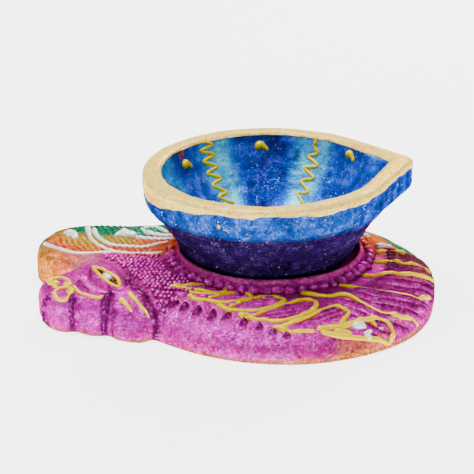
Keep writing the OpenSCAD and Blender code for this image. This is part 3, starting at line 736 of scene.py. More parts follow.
def plaque_grid(size):
    """Rows of points over the plaque: from the seat's middle out to the edge, and underneath."""
    deck, flat, seat = size.deck / MM, size.flat / MM, size.seat / MM
    floor, lip = size.floor / MM, size.lip / MM
    columns, deck_rows = size.columns, size.rows
    turn, radius, form = edge_table()
    fine = np.linspace(turn[0], turn[-1], 6000)
    fine_r = np.interp(fine, turn, radius)
    steps = np.hypot(np.diff(fine_r * np.cos(fine)), np.diff(fine_r * np.sin(fine)))
    run = np.append(0, np.cumsum(steps))
    a = np.interp(np.arange(columns) / columns * run[-1], run, fine)
    edge_r, n = np.interp(a, turn, radius), np.interp(a, turn, form)
    foot = seat + LIP_SLOPE
    start = SEAT_X * np.cos(a) + np.sqrt(foot**2 - (SEAT_X * np.sin(a)) ** 2)
    fall0 = np.arcsin(((start - flat) / (edge_r - flat)) ** (n / 2))
    fall = fall0 + (math.pi / 2 - fall0) * (np.linspace(0, 1, 500)[:, None] ** 0.8)
    out = flat + (edge_r - flat) * np.sin(fall) ** (2 / n)
    drop = deck * np.clip(np.cos(fall), 0, 1) ** (2 / n)
    lengths = np.hypot(np.diff(out, axis=0), np.diff(drop, axis=0))
    lengths = np.vstack([np.zeros(columns), np.cumsum(lengths, axis=0)])
    finer = 1 + 0.35 * smooth(28, 40, edge_r - flat)
    rows = []
    for k in range(deck_rows):
        share = lengths[-1] * (k / (deck_rows - 1)) ** finer
        f = np.array([np.interp(share[i], lengths[:, i], fall[:, i]) for i in range(columns)])
        r = flat + (edge_r - flat) * np.sin(f) ** (2 / n)
        level = np.clip(np.cos(f), 0, 1) ** (2 / n)
        x, y = r * np.cos(a), r * np.sin(a)
        rows.append(np.stack([x, y, level * (deck + head_rise(x, y))], -1))
    first = rows[0]
    way = np.stack([first[:, 0] - SEAT_X, first[:, 1]], -1) / foot
    profile = [(r, floor) for r in np.linspace(0.4, seat - 4.5, 9)]
    profile += [(seat - 3.2 * (1 - t) ** 1.4, floor + 0.4 + (lip - floor - 1.2) * t)
                for t in np.linspace(0, 1, 8)]
    profile += [(seat + 0.1, lip - 0.4), (seat + 0.4, lip - 0.05), (seat + 0.8, lip),
                (seat + 1.1, lip - 0.3), (seat + 1.4, lip - 1.0), (seat + 1.7, lip - 1.8),
                (seat + 2.2, deck + 0.8), (seat + 2.7, deck + 0.3)]
    inner = []
    for r, z in profile:
        points = np.stack([SEAT_X + r * way[:, 0], r * way[:, 1], np.full(columns, z)], -1)
        narrow = smooth(0, 20, r) * smooth(seat, seat - 3, r)
        points[:, 0] -= narrow * np.maximum(way[:, 0], 0) * 1.4
        inner.append(points)
    last = rows[-1].copy()
    last[:, 2] = 0
    rows[-1] = last
    under = [last * [s, s, 0] for s in (0.985, 0.9, 0.6, 0.25, 0.02)]
    return np.array(inner + rows), np.array(under)


def build_plaque(size, colour, mat):
    """The whole plaque as one closed mesh."""
    top, under = plaque_grid(size)
    normals = -normals_of(top)
    x, y, z = np.moveaxis(top, -1, 0)
    in_seat = np.hypot(x - SEAT_X, y) < size.seat / MM + 3.0
    detail = np.where(in_seat, 0, pressed_detail(x, y, z))
    fade = smooth(0.0, 1.2, z)
    shift = fade * (detail + clay_lumps(top) * np.where(in_seat, 0.45, 1.0))
    top = top + normals * shift[..., None]
    top[..., 2] = np.maximum(top[..., 2], 0)
    grid = np.concatenate([top, under])
    rows, columns = grid.shape[:2]
    points = grid.reshape(-1, 3)
    # Relief that the pearl paint follows, with painted shade in hollows and painted highlight on
    # ridges: the pressed detail with its creases softened.
    shading_relief = detail - 0.35 * np.where(in_seat, 0, creases(x, y))
    relief = np.concatenate([shading_relief + 0.6 * clay_lumps(top), np.zeros(under.shape[:2])]).ravel()
    return new_piece("painted_plaque", points, capped_faces(rows, columns), mat, "base",
                     ["peacock_plaque"], plaque_colours(points, colour),
                     relief)


# -------------------------------------------- the cup's shape


BOWL, RIM, OUTSIDE, FOOT = range(4)
SPOUT_WALL = 9  # from the tip of the bowl's nose to the tip of the spout
NOSE_R = 1.5  # radius of the bowl's nose
BOWL_FORM = 1.7  # fullness of the bowl: 2 is an ellipse, and lower is straighter
RIM_EDGE = 1.6  # from the rim's top down to where the outside starts
BAND_SLOPE = 4.5  # height of the slope under the band, over which the spout's nose runs out
# Streaks down the bowl, navy ones darker and cyan ones painted reflections of the lights:
# (direction in degrees, half width, strength, paint).
BOWL_STREAKS = [
    (92, 15, 0.95, "navy"), (61, 11, 0.85, "cyan"), (121, 10, 0.95, "cyan"), (30, 14, 0.3, "navy"),
    (148, 10, 0.4, "navy"), (170, 13, 0.6, "cyan"), (200, 14, 0.5, "cyan"), (250, 16, 0.5, "navy"),
    (300, 14, 0.5, "cyan"), (345, 14, 0.25, "cyan"),
]


def nose_radius(turn, round_r, tip_r, reach):
    """Radius of a round with a nose: the outline round a circle and a small one at its tip."""
    lean = np.arccos(np.clip((round_r - tip_r) / np.maximum(reach, 1e-6), -1, 1))
    straight = round_r / np.maximum(np.cos(turn - lean), 0.2)
    side = reach**2 - tip_r**2
    tip = reach * np.cos(turn) + np.sqrt(np.maximum(tip_r**2 - (reach * np.sin(turn)) ** 2, 0))
    tip_turn = np.arctan2(tip_r * np.sin(lean), reach + tip_r * np.cos(lean))
    plain = (turn >= lean) | (side <= 0) | (reach + tip_r <= round_r)
    return np.where(plain, round_r, np.where(turn <= tip_turn, tip, straight))


def cup_profile(size):
    """The cup's outline from the middle of the bowl, over the rim and down to the middle of the
    foot, as rows of (round radius, nose tip radius, nose reach, height, part)."""
    rim, wall, foot_r = size.rim_r / MM, size.wall / MM, size.foot_r / MM
    band, floor, reach = size.band / MM, size.bowl_floor / MM, size.spout_reach / MM
    tip_r, top, low = size.spout_tip_r / MM, CUP_HIGH[2], CUP_LOW[2]
    bowl_r, deep = rim - wall, CUP_HIGH[2] - CUP_LOW[2] - floor
    rows = []
    for down in np.linspace(88, 3, 44):
        r = bowl_r * math.cos(math.radians(down)) ** (2 / BOWL_FORM)
        z = top - deep * math.sin(math.radians(down)) ** (2 / BOWL_FORM)
        open_up = max(0.0, 1 - (top - z) / 9.5) ** 1.3
        inner_reach = reach - SPOUT_WALL
        nose = (r - NOSE_R) + (inner_reach - r + NOSE_R) * open_up
        rows.append((r, NOSE_R, nose, z, BOWL))
    for k in range(15):
        w = k / 14
        z = top - 1.0 * abs(2 * w - 1) ** 5
        nose = (reach - SPOUT_WALL) + (SPOUT_WALL - tip_r) * w
        rows.append((bowl_r + wall * w, NOSE_R + (tip_r - NOSE_R) * w, nose, z, RIM))
    under_band = top - band - BAND_SLOPE
    outside = [(top - RIM_EDGE, rim), (top - band, 38.9), (top - band - 2.1, 37.6),
               (under_band, 35), (19.8, 30.1), (13.2, 26.3), (low + 0.7, foot_r + 0.3),
               (low, foot_r - 0.6)]
    heights = np.array([h for h, _ in outside])[::-1]
    radii = np.array([r for _, r in outside])[::-1]
    for z in np.linspace(top - RIM_EDGE, low, 66):
        r = float(np.interp(z, heights, radii))
        s = np.clip((z - under_band) / BAND_SLOPE, 0, 1)
        rows.append((r, tip_r, (r - tip_r) + (reach - r) * s, z, OUTSIDE))
    for r in (foot_r - 2, foot_r * 0.75, foot_r * 0.4, 0.5):
        rows.append((r, 1, r - 1, low + 0.25, FOOT))
    return np.array(rows)


def cup_grid(size):
    """The cup's points as a grid, its normals, and which part each row belongs to."""
    rows = cup_profile(size)
    turns = np.arange(size.columns) / size.columns * 2 * math.pi
    spout = math.radians(size.spout_turn)
    off = np.abs((turns - spout + math.pi) % (2 * math.pi) - math.pi)
    radius = nose_radius(off[None, :], rows[:, :1], rows[:, 1:2], rows[:, 2:3])
    kernel = np.array([1, 2, 3, 2, 1]) / 9
    for _ in range(2):
        radius = sum(w * np.roll(radius, s, axis=1) for s, w in zip((-2, -1, 0, 1, 2), kernel))
    mid_x, mid_y = CUP_LOW[0] + size.rim_r / MM, CUP_LOW[1] + size.rim_r / MM
    grid = np.stack([mid_x + radius * np.cos(turns), mid_y + radius * np.sin(turns),
                     np.repeat(rows[:, 3:4], size.columns, axis=1)], -1)
    normals = -normals_of(grid)
    shift = 0.28 * lumps(grid, 17, 71) + 0.12 * lumps(grid, 5, 72) + 0.05 * lumps(grid, 1.6, 73)
    rings = 0.10 * np.cos(2 * math.pi * grid[..., 2] / 2.3 + 2 * lumps(grid, 20, 74))
    shift = shift + rings * (rows[:, 4:5] != RIM)
    inside = smooth(0.0, 8.0, radius)
    grid = grid + normals * (shift * inside)[..., None]
    lean = 0.5 + 0.75 * (grid[..., 1] - mid_y) / 39 + 0.6 * (grid[..., 0] - mid_x) / 47
    grid[..., 2] = np.maximum(grid[..., 2] + lean * smooth(16, 38, grid[..., 2]), CUP_LOW[2])
    return grid, -normals_of(grid), rows[:, 4]


def cup_colours(grid, parts, colour):
    """Paint colour of the cup at each point: blue outside above purple, blue inside with darker
    streaks and cyan streaks of painted reflection.
    """
    flat = grid.reshape(-1, 3)
    part = np.repeat(parts, grid.shape[1])
    mid = grid[-1].mean(axis=0)
    x, y, z = flat.T
    turn = np.degrees(np.arctan2(y - mid[1], x - mid[0])) % 360
    wander = 0.8 * lumps(flat, 9, 81) + 0.35 * lumps(flat, 2.5, 82)
    result, lay = coats("blue", len(flat), colour)
    inner = part == BOWL
    lay("azure", inner)
    # Cyan streaks are painted reflections of the lights; navy ones are darker streaks.
    for middle, wide, amount, name in BOWL_STREAKS:
        away = (turn - middle + 180) % 360 - 180
        lay(name, inner * amount * np.exp(-((away / wide) ** 4)) * (0.8 + 0.4 * lumps(flat, 4, 83)))
    lay("purple", (part >= OUTSIDE) * smooth(30.2, 29.7, z + 0.35 * wander - 0.012 * (x - mid[0])))
    lay("clay", (part == FOOT) * 0.9)
    worn = smooth(CUP_HIGH[2] - 3.5, CUP_HIGH[2] - 2, z + wander)
    worn = (part <= RIM) * worn * smooth(37, 35, np.hypot(x - mid[0], y - mid[1]))
    for spot in (146, 330, 255):
        away = np.abs((turn - spot + 180) % 360 - 180)
        lay("clay", smooth(3.2, 1.6, away) * worn)
    return result


def on_skin(grid, normals, turn, row, lift=0.0):
    """Places on the cup's skin, in millimetres, at turns in degrees and rows or parts of rows."""
    columns = grid.shape[1]
    c = (np.asarray(turn, float) % 360) / 360 * columns
    r = np.clip(np.asarray(row, float), 0, grid.shape[0] - 1.001)
    c0, r0 = np.floor(c).astype(int) % columns, np.floor(r).astype(int)
    fc, fr = (c - np.floor(c))[..., None], (r - r0)[..., None]
    c1 = (c0 + 1) % columns

    def blend(of):
        return ((of[r0, c0] * (1 - fc) + of[r0, c1] * fc) * (1 - fr)
                + (of[r0 + 1, c0] * (1 - fc) + of[r0 + 1, c1] * fc) * fr)

    place, out = blend(grid), blend(normals)
    lift = np.asarray(lift, float)[..., None] if np.ndim(lift) else lift
    return place + out * lift


def build_cup(size, colour, mat):
    """The thrown and pinched cup as one closed mesh."""
    grid, _, parts = cup_grid(size)
    flat = grid.reshape(-1, 3)
    relief = 0.5 * lumps(flat, 2.2, 91) + 0.25 * lumps(flat, 5, 92)
    return new_piece("painted_cup", flat, capped_faces(*grid.shape[:2]), mat, "cup_body",
                     ["cup"], cup_colours(grid, parts, colour), relief)


def rim_rows(parts):
    """The first and the last row of the cup's rim."""
    return int(np.argmax(parts == RIM)), len(parts) - 1 - int(np.argmax(parts[::-1] == RIM))


def build_gilding(size, mat):
    """The gold coat over the rim: a thin closed skin with wavering edges inside and out."""
    grid, normals, parts = cup_grid(size)
    columns, across = 480, 30
    turns = np.arange(columns) / columns * 360
    first_rim, last_rim = rim_rows(parts)
    angle = np.radians(turns)
    circle = np.stack([30 * np.cos(angle), 30 * np.sin(angle), 0 * angle], -1)
    waver = lumps(circle, 5, 101) + 0.6 * lumps(circle, 2, 102)
    left = np.exp(-((((turns - 198 + 180) % 360 - 180) / 26) ** 2))
    inner = first_rim - 0.4 - 0.5 * waver
    row_mm = (size.band / MM - RIM_EDGE) / 16
    reach = 1.5 + 0.8 * lumps(circle, 6, 103) + 0.4 * lumps(circle, 2, 104) + 4.5 * left
    outer = last_rim + reach / row_mm / 1.35
    share = np.linspace(0, 1, across)
    row = inner[None, :] + (outer - inner)[None, :] * share[:, None]
    thick = 0.26 * (1 - np.abs(2 * share - 1) ** 7)[:, None] * (1 + 0.25 * lumps(
        np.stack([circle[None, :, 0] + 0 * row, circle[None, :, 1] + 0 * row, row], -1), 3, 105))
    turn = np.repeat(turns[None, :], across, axis=0)
    outside = on_skin(grid, normals, turn, row, thick)
    inside = on_skin(grid, normals, turn, row, np.full(row.shape, -0.22))
    both = np.concatenate([outside, inside[::-1]])
    n = len(both)
    last = (n - 1) * columns
    faces = grid_faces(n, columns)
    faces += [(last + (i + 1) % columns, (i + 1) % columns, i, last + i) for i in range(columns)]
    obj = new_piece("rim_gilding_coat", both.reshape(-1, 3), faces, mat, "cup_body",
                    ["rim_gilding"])
    along = np.stack([4 * np.cos(np.tile(angle, n)), 4 * np.sin(np.tile(angle, n)),
                      np.repeat(np.concatenate([share, share[::-1]]) * 14, columns)], -1)
    keep(obj.data, "along", "FLOAT_VECTOR", along)
    return obj


# -------------------------------------------- geometry node trees


def new_tree(name, inputs):
    """A geometry node tree with a Geometry input, the named inputs and a Geometry output."""
    tree = bpy.data.node_groups.new(name, "GeometryNodeTree")
    tree.interface.new_socket("Geometry", in_out="INPUT", socket_type="NodeSocketGeometry")
    for label, kind, value in inputs:
        socket = tree.interface.new_socket(label, in_out="INPUT", socket_type=kind)
        if value is not None:
            socket.default_value = value
    tree.interface.new_socket("Geometry", in_out="OUTPUT", socket_type="NodeSocketGeometry")
    return tree, tree.nodes.new("NodeGroupInput"), tree.nodes.new("NodeGroupOutput")


def tree_maths(tree, kind, *values):
    """A maths node in a tree, on sockets or numbers."""
    node = tree.nodes.new("ShaderNodeMath")
    node.operation = kind
    for socket, value in zip(node.inputs, values):
        if isinstance(value, (int, float)):
            socket.default_value = value
        else:
            tree.links.new(value, socket)
    return node.outputs[0]


def tree_noise(tree, scale, seed):
    """Noise from -1 to 1 at each point's place, fixed by a seed."""
    place = tree.nodes.new("GeometryNodeInputPosition")
    tex = tree.nodes.new("ShaderNodeTexNoise")
    tex.noise_dimensions = "4D"
    tex.inputs["Detail"].default_value = 1.0
    tree.links.new(place.outputs[0], tex.inputs["Vector"])
    tree.links.new(scale, tex.inputs["Scale"])
    tree.links.new(seed, tex.inputs["W"])
    return tree_maths(tree, "MULTIPLY", tree_maths(tree, "SUBTRACT", tex.outputs["Fac"], 0.5), 4.0)


def relief_line_tree():
    """Squeezes a bead of paint along each curve: uneven in width, with round ends."""
    tree, start, end = new_tree("relief_line", [
        ("Width", "NodeSocketFloat", 0.0015), ("Unevenness", "NodeSocketFloat", 0.16),
        ("Lump scale", "NodeSocketFloat", 300.0), ("Step", "NodeSocketFloat", 0.00035),
        ("Seed", "NodeSocketFloat", 1.0), ("Sides", "NodeSocketInt", 12),
        ("Paint", "NodeSocketMaterial", None)])
    link = tree.links.new
    cut = tree.nodes.new("GeometryNodeResampleCurve")
    cut.mode = "LENGTH"
    link(start.outputs["Geometry"], cut.inputs["Curve"])
    link(start.outputs["Step"], cut.inputs["Length"])
    radius_in = tree.nodes.new("GeometryNodeInputRadius").outputs[0]
    half = tree_maths(tree, "MULTIPLY", start.outputs["Width"], 0.5)
    noise = tree_noise(tree, start.outputs["Lump scale"], start.outputs["Seed"])
    uneven = tree_maths(tree, "MULTIPLY_ADD", noise, start.outputs["Unevenness"], 1.0)
    radius = tree_maths(tree, "MULTIPLY", tree_maths(tree, "MULTIPLY", half, radius_in), uneven)
    run = tree.nodes.new("GeometryNodeSplineParameter").outputs["Length"]
    whole = tree.nodes.new("GeometryNodeSplineLength").outputs["Length"]
    to_end = tree_maths(tree, "MINIMUM", run, tree_maths(tree, "SUBTRACT", whole, run))
    near = tree_maths(tree, "MINIMUM", tree_maths(tree, "DIVIDE", to_end, radius), 1.0)
    gap = tree_maths(tree, "SUBTRACT", 1.0, near)
    square = tree_maths(tree, "MULTIPLY", gap, gap)
    dome = tree_maths(tree, "SQRT", tree_maths(tree, "SUBTRACT", 1.02, square))
    sized = tree.nodes.new("GeometryNodeSetCurveRadius")
    link(cut.outputs[0], sized.inputs["Curve"])
    link(tree_maths(tree, "MULTIPLY", radius, dome), sized.inputs["Radius"])
    ring = tree.nodes.new("GeometryNodeCurvePrimitiveCircle")
    ring.inputs["Radius"].default_value = 1.0
    link(start.outputs["Sides"], ring.inputs["Resolution"])
    tube = tree.nodes.new("GeometryNodeCurveToMesh")
    link(sized.outputs[0], tube.inputs["Curve"])
    link(ring.outputs["Curve"], tube.inputs["Profile Curve"])
    tube.inputs["Fill Caps"].default_value = True
    if "Scale" in tube.inputs:
        link(tree.nodes.new("GeometryNodeInputRadius").outputs[0], tube.inputs["Scale"])
    finish_tree(tree, start, end, tube.outputs[0])
    return tree


def clay_beads_tree():
    """Presses a bead of clay on every point, each of its own size, and dents their skins."""
    tree, start, end = new_tree("clay_beads", [
        ("Size", "NodeSocketVector", (0.0035, 0.0035, 0.0035)),
        ("Unevenness", "NodeSocketFloat", 0.12), ("Dents", "NodeSocketFloat", 0.0003),
        ("Lump scale", "NodeSocketFloat", 420.0), ("Fineness", "NodeSocketInt", 4),
        ("Seed", "NodeSocketInt", 4), ("Dent seed", "NodeSocketFloat", 2.0),
        ("Paint", "NodeSocketMaterial", None)])
    link = tree.links.new
    ball = tree.nodes.new("GeometryNodeMeshIcoSphere")
    ball.inputs["Radius"].default_value = 0.5
    link(start.outputs["Fineness"], ball.inputs["Subdivisions"])
    own = tree.nodes.new("FunctionNodeRandomValue")
    own.data_type = "FLOAT_VECTOR"
    link(tree_maths(tree, "SUBTRACT", 1.0, start.outputs["Unevenness"]), own.inputs[0])
    link(tree_maths(tree, "MULTIPLY_ADD", start.outputs["Unevenness"], 0.6, 1.0), own.inputs[1])
    link(start.outputs["Seed"], own.inputs["Seed"])
    size = tree.nodes.new("ShaderNodeVectorMath")
    size.operation = "MULTIPLY"
    link(start.outputs["Size"], size.inputs[0])
    link(own.outputs[0], size.inputs[1])
    spread = tree.nodes.new("GeometryNodeInstanceOnPoints")
    link(start.outputs["Geometry"], spread.inputs["Points"])
    link(ball.outputs["Mesh"], spread.inputs["Instance"])
    link(size.outputs[0], spread.inputs["Scale"])
    real = tree.nodes.new("GeometryNodeRealizeInstances")
    link(spread.outputs[0], real.inputs[0])
    dent = tree.nodes.new("GeometryNodeSetPosition")
    link(real.outputs[0], dent.inputs["Geometry"])
    push = tree.nodes.new("ShaderNodeVectorMath")
    push.operation = "SCALE"
    link(tree.nodes.new("GeometryNodeInputNormal").outputs[0], push.inputs[0])
    noise = tree_noise(tree, start.outputs["Lump scale"], start.outputs["Dent seed"])
    link(tree_maths(tree, "MULTIPLY", noise, start.outputs["Dents"]), push.inputs["Scale"])
    link(push.outputs[0], dent.inputs["Offset"])
    finish_tree(tree, start, end, dent.outputs[0])
    return tree


def finish_tree(tree, start, end, geometry):
    """Ends a tree: smooth faces, real geometry and its paint."""
    shade = tree.nodes.new("GeometryNodeSetShadeSmooth")
    tree.links.new(geometry, shade.inputs["Geometry"])
    real = tree.nodes.new("GeometryNodeRealizeInstances")
    tree.links.new(shade.outputs[0], real.inputs[0])
    paint = tree.nodes.new("GeometryNodeSetMaterial")
    tree.links.new(real.outputs[0], paint.inputs["Geometry"])
    tree.links.new(start.outputs["Paint"], paint.inputs["Material"])
    tree.links.new(paint.outputs[0], end.inputs["Geometry"])


def made_by_tree(name, source, tree, values):
    """Runs a tree on an object with the named values and keeps its result as a plain mesh."""
    modifier = source.modifiers.new(tree.name, "NODES")
    modifier.node_group = tree
    sockets = {s.name: s.identifier for s in tree.interface.items_tree if s.in_out == "INPUT"}
    for label, value in values.items():
        modifier[sockets[label]] = value
    bpy.context.view_layer.update()
    graph = bpy.context.evaluated_depsgraph_get()
    mesh = bpy.data.meshes.new_from_object(source.evaluated_get(graph), depsgraph=graph)
    source.modifiers.remove(modifier)
    bpy.data.objects.remove(source)
    mesh.name = name
    obj = bpy.data.objects.new(name, mesh)
    bpy.context.scene.collection.objects.link(obj)
    return obj


def clay_beads(name, places, node, colour, size, uneven, dents, fineness, base):
    """Beads of clay at places in millimetres, painted like the plaque, with a painted highlight
    towards the top and painted shade towards the bottom.
    """
    seed = bpy.data.objects.new(name + "_places", bpy.data.meshes.new(name + "_places"))
    seed.data.from_pydata([tuple(p) for p in places * MM], [], [])
    bpy.context.scene.collection.objects.link(seed)
    tree = bpy.data.node_groups.get("clay_beads") or clay_beads_tree()
    obj = made_by_tree(name, seed, tree, {
        "Size": tuple(v * MM for v in size), "Unevenness": uneven, "Dents": dents * MM,
        "Fineness": fineness, "Seed": 4, "Paint": plaque_paint()})
    points = np.array([v.co for v in obj.data.vertices]) / MM
    # Height on the bead sets its relief: painted highlight on top, painted shade low down.
    tops = points[:, 2].reshape(len(places), -1) - places[:, 2:]
    rise = (tops / size[2]).ravel()
    store(obj, plaque_colours(points, colour), base + 1.6 * rise + 0.3 * lumps(points, 1.2, 111))
    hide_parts(node)
    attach(obj, "base")
    return obj


def curves_object(name, lines):
    """A curve object with one open run for each (points in millimetres, widths)."""
    data = bpy.data.curves.new(name, "CURVE")
    data.dimensions = "3D"
    for points, widths in lines:
        run = data.splines.new("POLY")
        run.points.add(len(points) - 1)
        for p, place, width in zip(run.points, points, widths):
            p.co = (*(np.asarray(place) * MM), 1)
            p.radius = width
    obj = bpy.data.objects.new(name, data)
    bpy.context.scene.collection.objects.link(obj)
    return obj


def paint_bead(name, lines, width, mat, body, seed, uneven):
    """A piece of relief paint along lines on a surface, for the CAD node of the same name."""
    tree = bpy.data.node_groups.get("relief_line") or relief_line_tree()
    obj = made_by_tree(name + "_paint", curves_object(name, lines), tree, {
        "Width": width * MM, "Unevenness": uneven, "Seed": float(seed), "Paint": mat})
    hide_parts(name)
    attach(obj, body)
    return obj


def plaque_skin(context):
    """The finished plaque's surface, to find heights on."""
    return BVHTree.FromObject(bpy.data.objects["painted_plaque"], context.evaluated_depsgraph_get())


def settle(points, skin, sink, smoothing=9):
    """Lays plan points on the plaque's finished top and bridges its dips, as stiff paint does."""
    heights = []
    for x, y in points:
        hit = skin.ray_cast(Vector((x, y, 40)) * MM, Vector((0, 0, -1)))
        heights.append(hit[0].z / MM if hit[0] is not None else 0.5)
    padded = np.pad(np.array(heights), smoothing // 2, mode="edge")
    even = np.convolve(padded, np.ones(smoothing) / smoothing, "valid")
    return np.column_stack([points, np.maximum(np.maximum(even, heights) - sink, 0.9)])


# -------------------------------------------- settings


def length(name, description, default_mm, low=0.05, high=200):
    """A length property, given in millimetres and kept in metres."""
    return FloatProperty(name=name, description=description, default=default_mm * MM, min=low * MM,
                         max=high * MM, subtype="DISTANCE", unit="LENGTH", precision=5)


def paint_colour(name, description, default):
    """A colour property."""
    return FloatVectorProperty(name=name, description=description, default=default, size=3,
                               min=0, max=1, subtype="COLOR_GAMMA")


def whole_number(name, description, default, low, high):
    """A whole number."""
    return IntProperty(name=name, description=description, default=default, min=low, max=high)


def fraction(name, description, default, high=1.0):
    """A fraction, from nothing to high."""
    return FloatProperty(name=name, description=description, default=default, min=0, max=high,
                         subtype="FACTOR")


def watts(name, description, default):
    """The power of a light, in watts."""
    return FloatProperty(name=name, description=description, default=default, min=0, unit="POWER")


class DiyaPlaqueSettings(bpy.types.PropertyGroup):
    """Sizes of the moulded plaque and its pellets"""

    deck: length("Top height", "Height of the plaque's top face", 11.2)
    flat: length("Flat radius", "Radius of the flat middle before the top rolls down", 30)
    seat: length("Seat radius", "Radius of the round seat for the cup", 28.5)
    floor: length("Seat floor", "Height of the seat's floor", 7)
    lip: length("Lip height", "Height of the lip round the seat", float(PLAQUE_TOP))
    columns: whole_number("Columns", "Points round the plaque", 780, 200, 900)
    rows: whole_number("Rows", "Rows of points from lip to edge", 94, 30, 100)
    pellet_count: whole_number("Pellets", "Pellets round the seat", 54, 20, 60)
    pellet_size: length("Pellet size", "Diameter of one pellet", 3.8)
    pellet_row: length("Pellet row", "Radius of the row of pellets", 31.7)
    scale_pitch: length("Scale pitch", "Distance from scale to scale along a row", 1.4)
    scale_row: length("Scale rows", "Distance from one row of scales to the next", 2.2)
    pellet_uneven: fraction("Unevenness", "Spread of the pellets' sizes", 0.2, 0.4)


class DiyaCupSettings(bpy.types.PropertyGroup):
    """Sizes of the thrown cup"""

    rim_r: length("Rim radius", "Outer radius of the rim", 39.2)
    wall: length("Wall", "Thickness of the wall at the rim", 5.4)
    foot_r: length("Foot radius", "Radius of the foot", 22.8)
    band: length("Band", "Height of the upright band below the rim", 8.7)
    bowl_floor: length("Floor", "Thickness of the clay under the bowl", 6.4)
    spout_reach: length("Spout reach", "Distance from the cup's middle to the spout's tip", 46.8)
    spout_tip_r: length("Spout tip", "Radius of the spout's rounded tip", 3)
    spout_turn: FloatProperty(name="Spout turn", default=8.5, min=-180, max=180,
                              description="Direction of the spout in degrees, from +X to +Y")
    columns: whole_number("Columns", "Points round the cup", 600, 120, 700)


class DiyaPaintSettings(bpy.types.PropertyGroup):
    """Colours of the paints, and how the relief paint was squeezed on"""

    magenta: paint_colour("Magenta", "Pearl paint of the head, wing and tail", (0.72, 0.0, 0.56))
    # Deep magenta is painted shade, low in the seat and in the crease behind the eye.
    deep: paint_colour("Deep magenta", "Pearl paint inside the seat", (0.36, 0.0, 0.28))
    pink: paint_colour("Pink", "Pearl paint of the rounded front", (0.70, 0.0, 0.60))
    crimson: paint_colour("Crimson", "Deeper paint low on the wing's edge", (0.72, 0.0, 0.50))
    rose_clay: paint_colour("Rose clay", "Pearl paint rubbed thin over clay", (0.74, 0.34, 0.40))
    orange: paint_colour("Orange", "Paint of the neck and the inner train", (0.80, 0.36, 0.0))
    copper: paint_colour("Copper", "Paint beside the seat and the neck", (0.66, 0.24, 0.10))
    olive: paint_colour("Olive", "Where orange meets green", (0.60, 0.50, 0.04))
    teal: paint_colour("Teal", "Paint of the outer train", (0.0, 0.45, 0.30))
    oxblood: paint_colour("Oxblood", "Paint round the pupil", (0.32, 0.05, 0.04))
    clay: paint_colour("Bare clay", "Fired clay where no paint reached", (0.66, 0.32, 0.20))
    blue: paint_colour("Blue", "Pearl paint outside the cup", (0.0, 0.24, 0.56))
    azure: paint_colour("Azure", "Brighter blue inside the cup", (0.0, 0.30, 0.76))
    navy: paint_colour("Navy", "Deep blue inside the cup", (0.0, 0.08, 0.45))
    # Cyan streaks inside the cup are painted reflections of the lights.
    cyan: paint_colour("Cyan", "Light streaks inside the cup", (0.25, 0.82, 1.0))
    purple: paint_colour("Purple", "Paint of the cup's foot", (0.15, 0.02, 0.33))
    gold: paint_colour("Gold", "Metallic paint of the rim", (1.0, 0.86, 0.40))
    bronze: paint_colour("Bronze", "Darker streaks in the gold", (0.82, 0.58, 0.18))
    yellow: paint_colour("Yellow", "Relief paint", (0.97, 0.85, 0.0))
    amber: paint_colour("Amber", "Shade of the yellow where it is thin", (0.92, 0.74, 0.0))
    white: paint_colour("White", "Relief paint", (0.98, 0.98, 0.97))
    chalk: paint_colour("Chalk", "Shade of the white where it is thin", (0.86, 0.84, 0.80))
    uneven: fraction("Unevenness", "How much the width of a line varies", 0.16, 0.5)
    zigzags: whole_number("Zigzags", "Zigzag lines down the inside of the cup", 5, 1, 8)


class DiyaStageSettings(bpy.types.PropertyGroup):
    """The studio: floor, lights and camera"""

    floor_tone: fraction("Floor tone", "Brightness of the floor", 0.93)
    floor_glow: FloatProperty(name="Floor glow", default=3.0, min=0,
                              description="Light from the lit table under the paper")
    key: watts("Key light", "Power of the overhead light", 14.0)
    fill: watts("Fill light", "Power of the front light", 0.6)
    rear: watts("Rear light", "Power of the light that glints on the relief", 5.0)
    sky: FloatProperty(name="Surrounding light", description="Strength of the even light",
                       default=0.25, min=0)
    raise_deg: FloatProperty(name="Camera height", default=21.0, min=0, max=89,
                             description="Camera's angle above the floor, in degrees")
    away: length("Camera distance", "Distance from camera to target", 600, high=5000)
    aim: FloatVectorProperty(name="Aim", description="Point that the camera looks at", size=3,
                             default=(-0.009, 0.0452, 0.0), subtype="TRANSLATION", unit="LENGTH")
    lens: FloatProperty(name="Lens", description="Focal length in millimetres", default=131.0,
                        min=10, max=400)


# -------------------------------------------- operators


def colours(context):
    """Every paint colour by name."""
    paints = context.scene.diya_paint
    return {name: tuple(getattr(paints, name)) for name in DiyaPaintSettings.__annotations__
            if name not in ("uneven", "zigzags")}


def made_material(name, maker, *values):
    """The material of that name, made once."""
    return bpy.data.materials.get(name) or maker(name, *values)


def plaque_paint():
    """The pearl paint of the plaque and its pellets."""
    return made_material("pearl_paint_on_plaque", pearl_paint, 0.75, 0.5, 0.15, 700.0)


def cup_paint():
    """The pearl paint of the cup."""
    return made_material("pearl_paint_on_cup", pearl_paint, 0.3, 0.2, 0.9, 1100.0)


def line_paint(context, kind):
    """The yellow or the white relief paint."""
    paint = colours(context)
    tone, shade = ("yellow", "amber") if kind == "yellow" else ("white", "chalk")
    return made_material(kind + "_line_paint", relief_paint, tuple(to_linear(paint[tone])),
                         tuple(to_linear(paint[shade])))


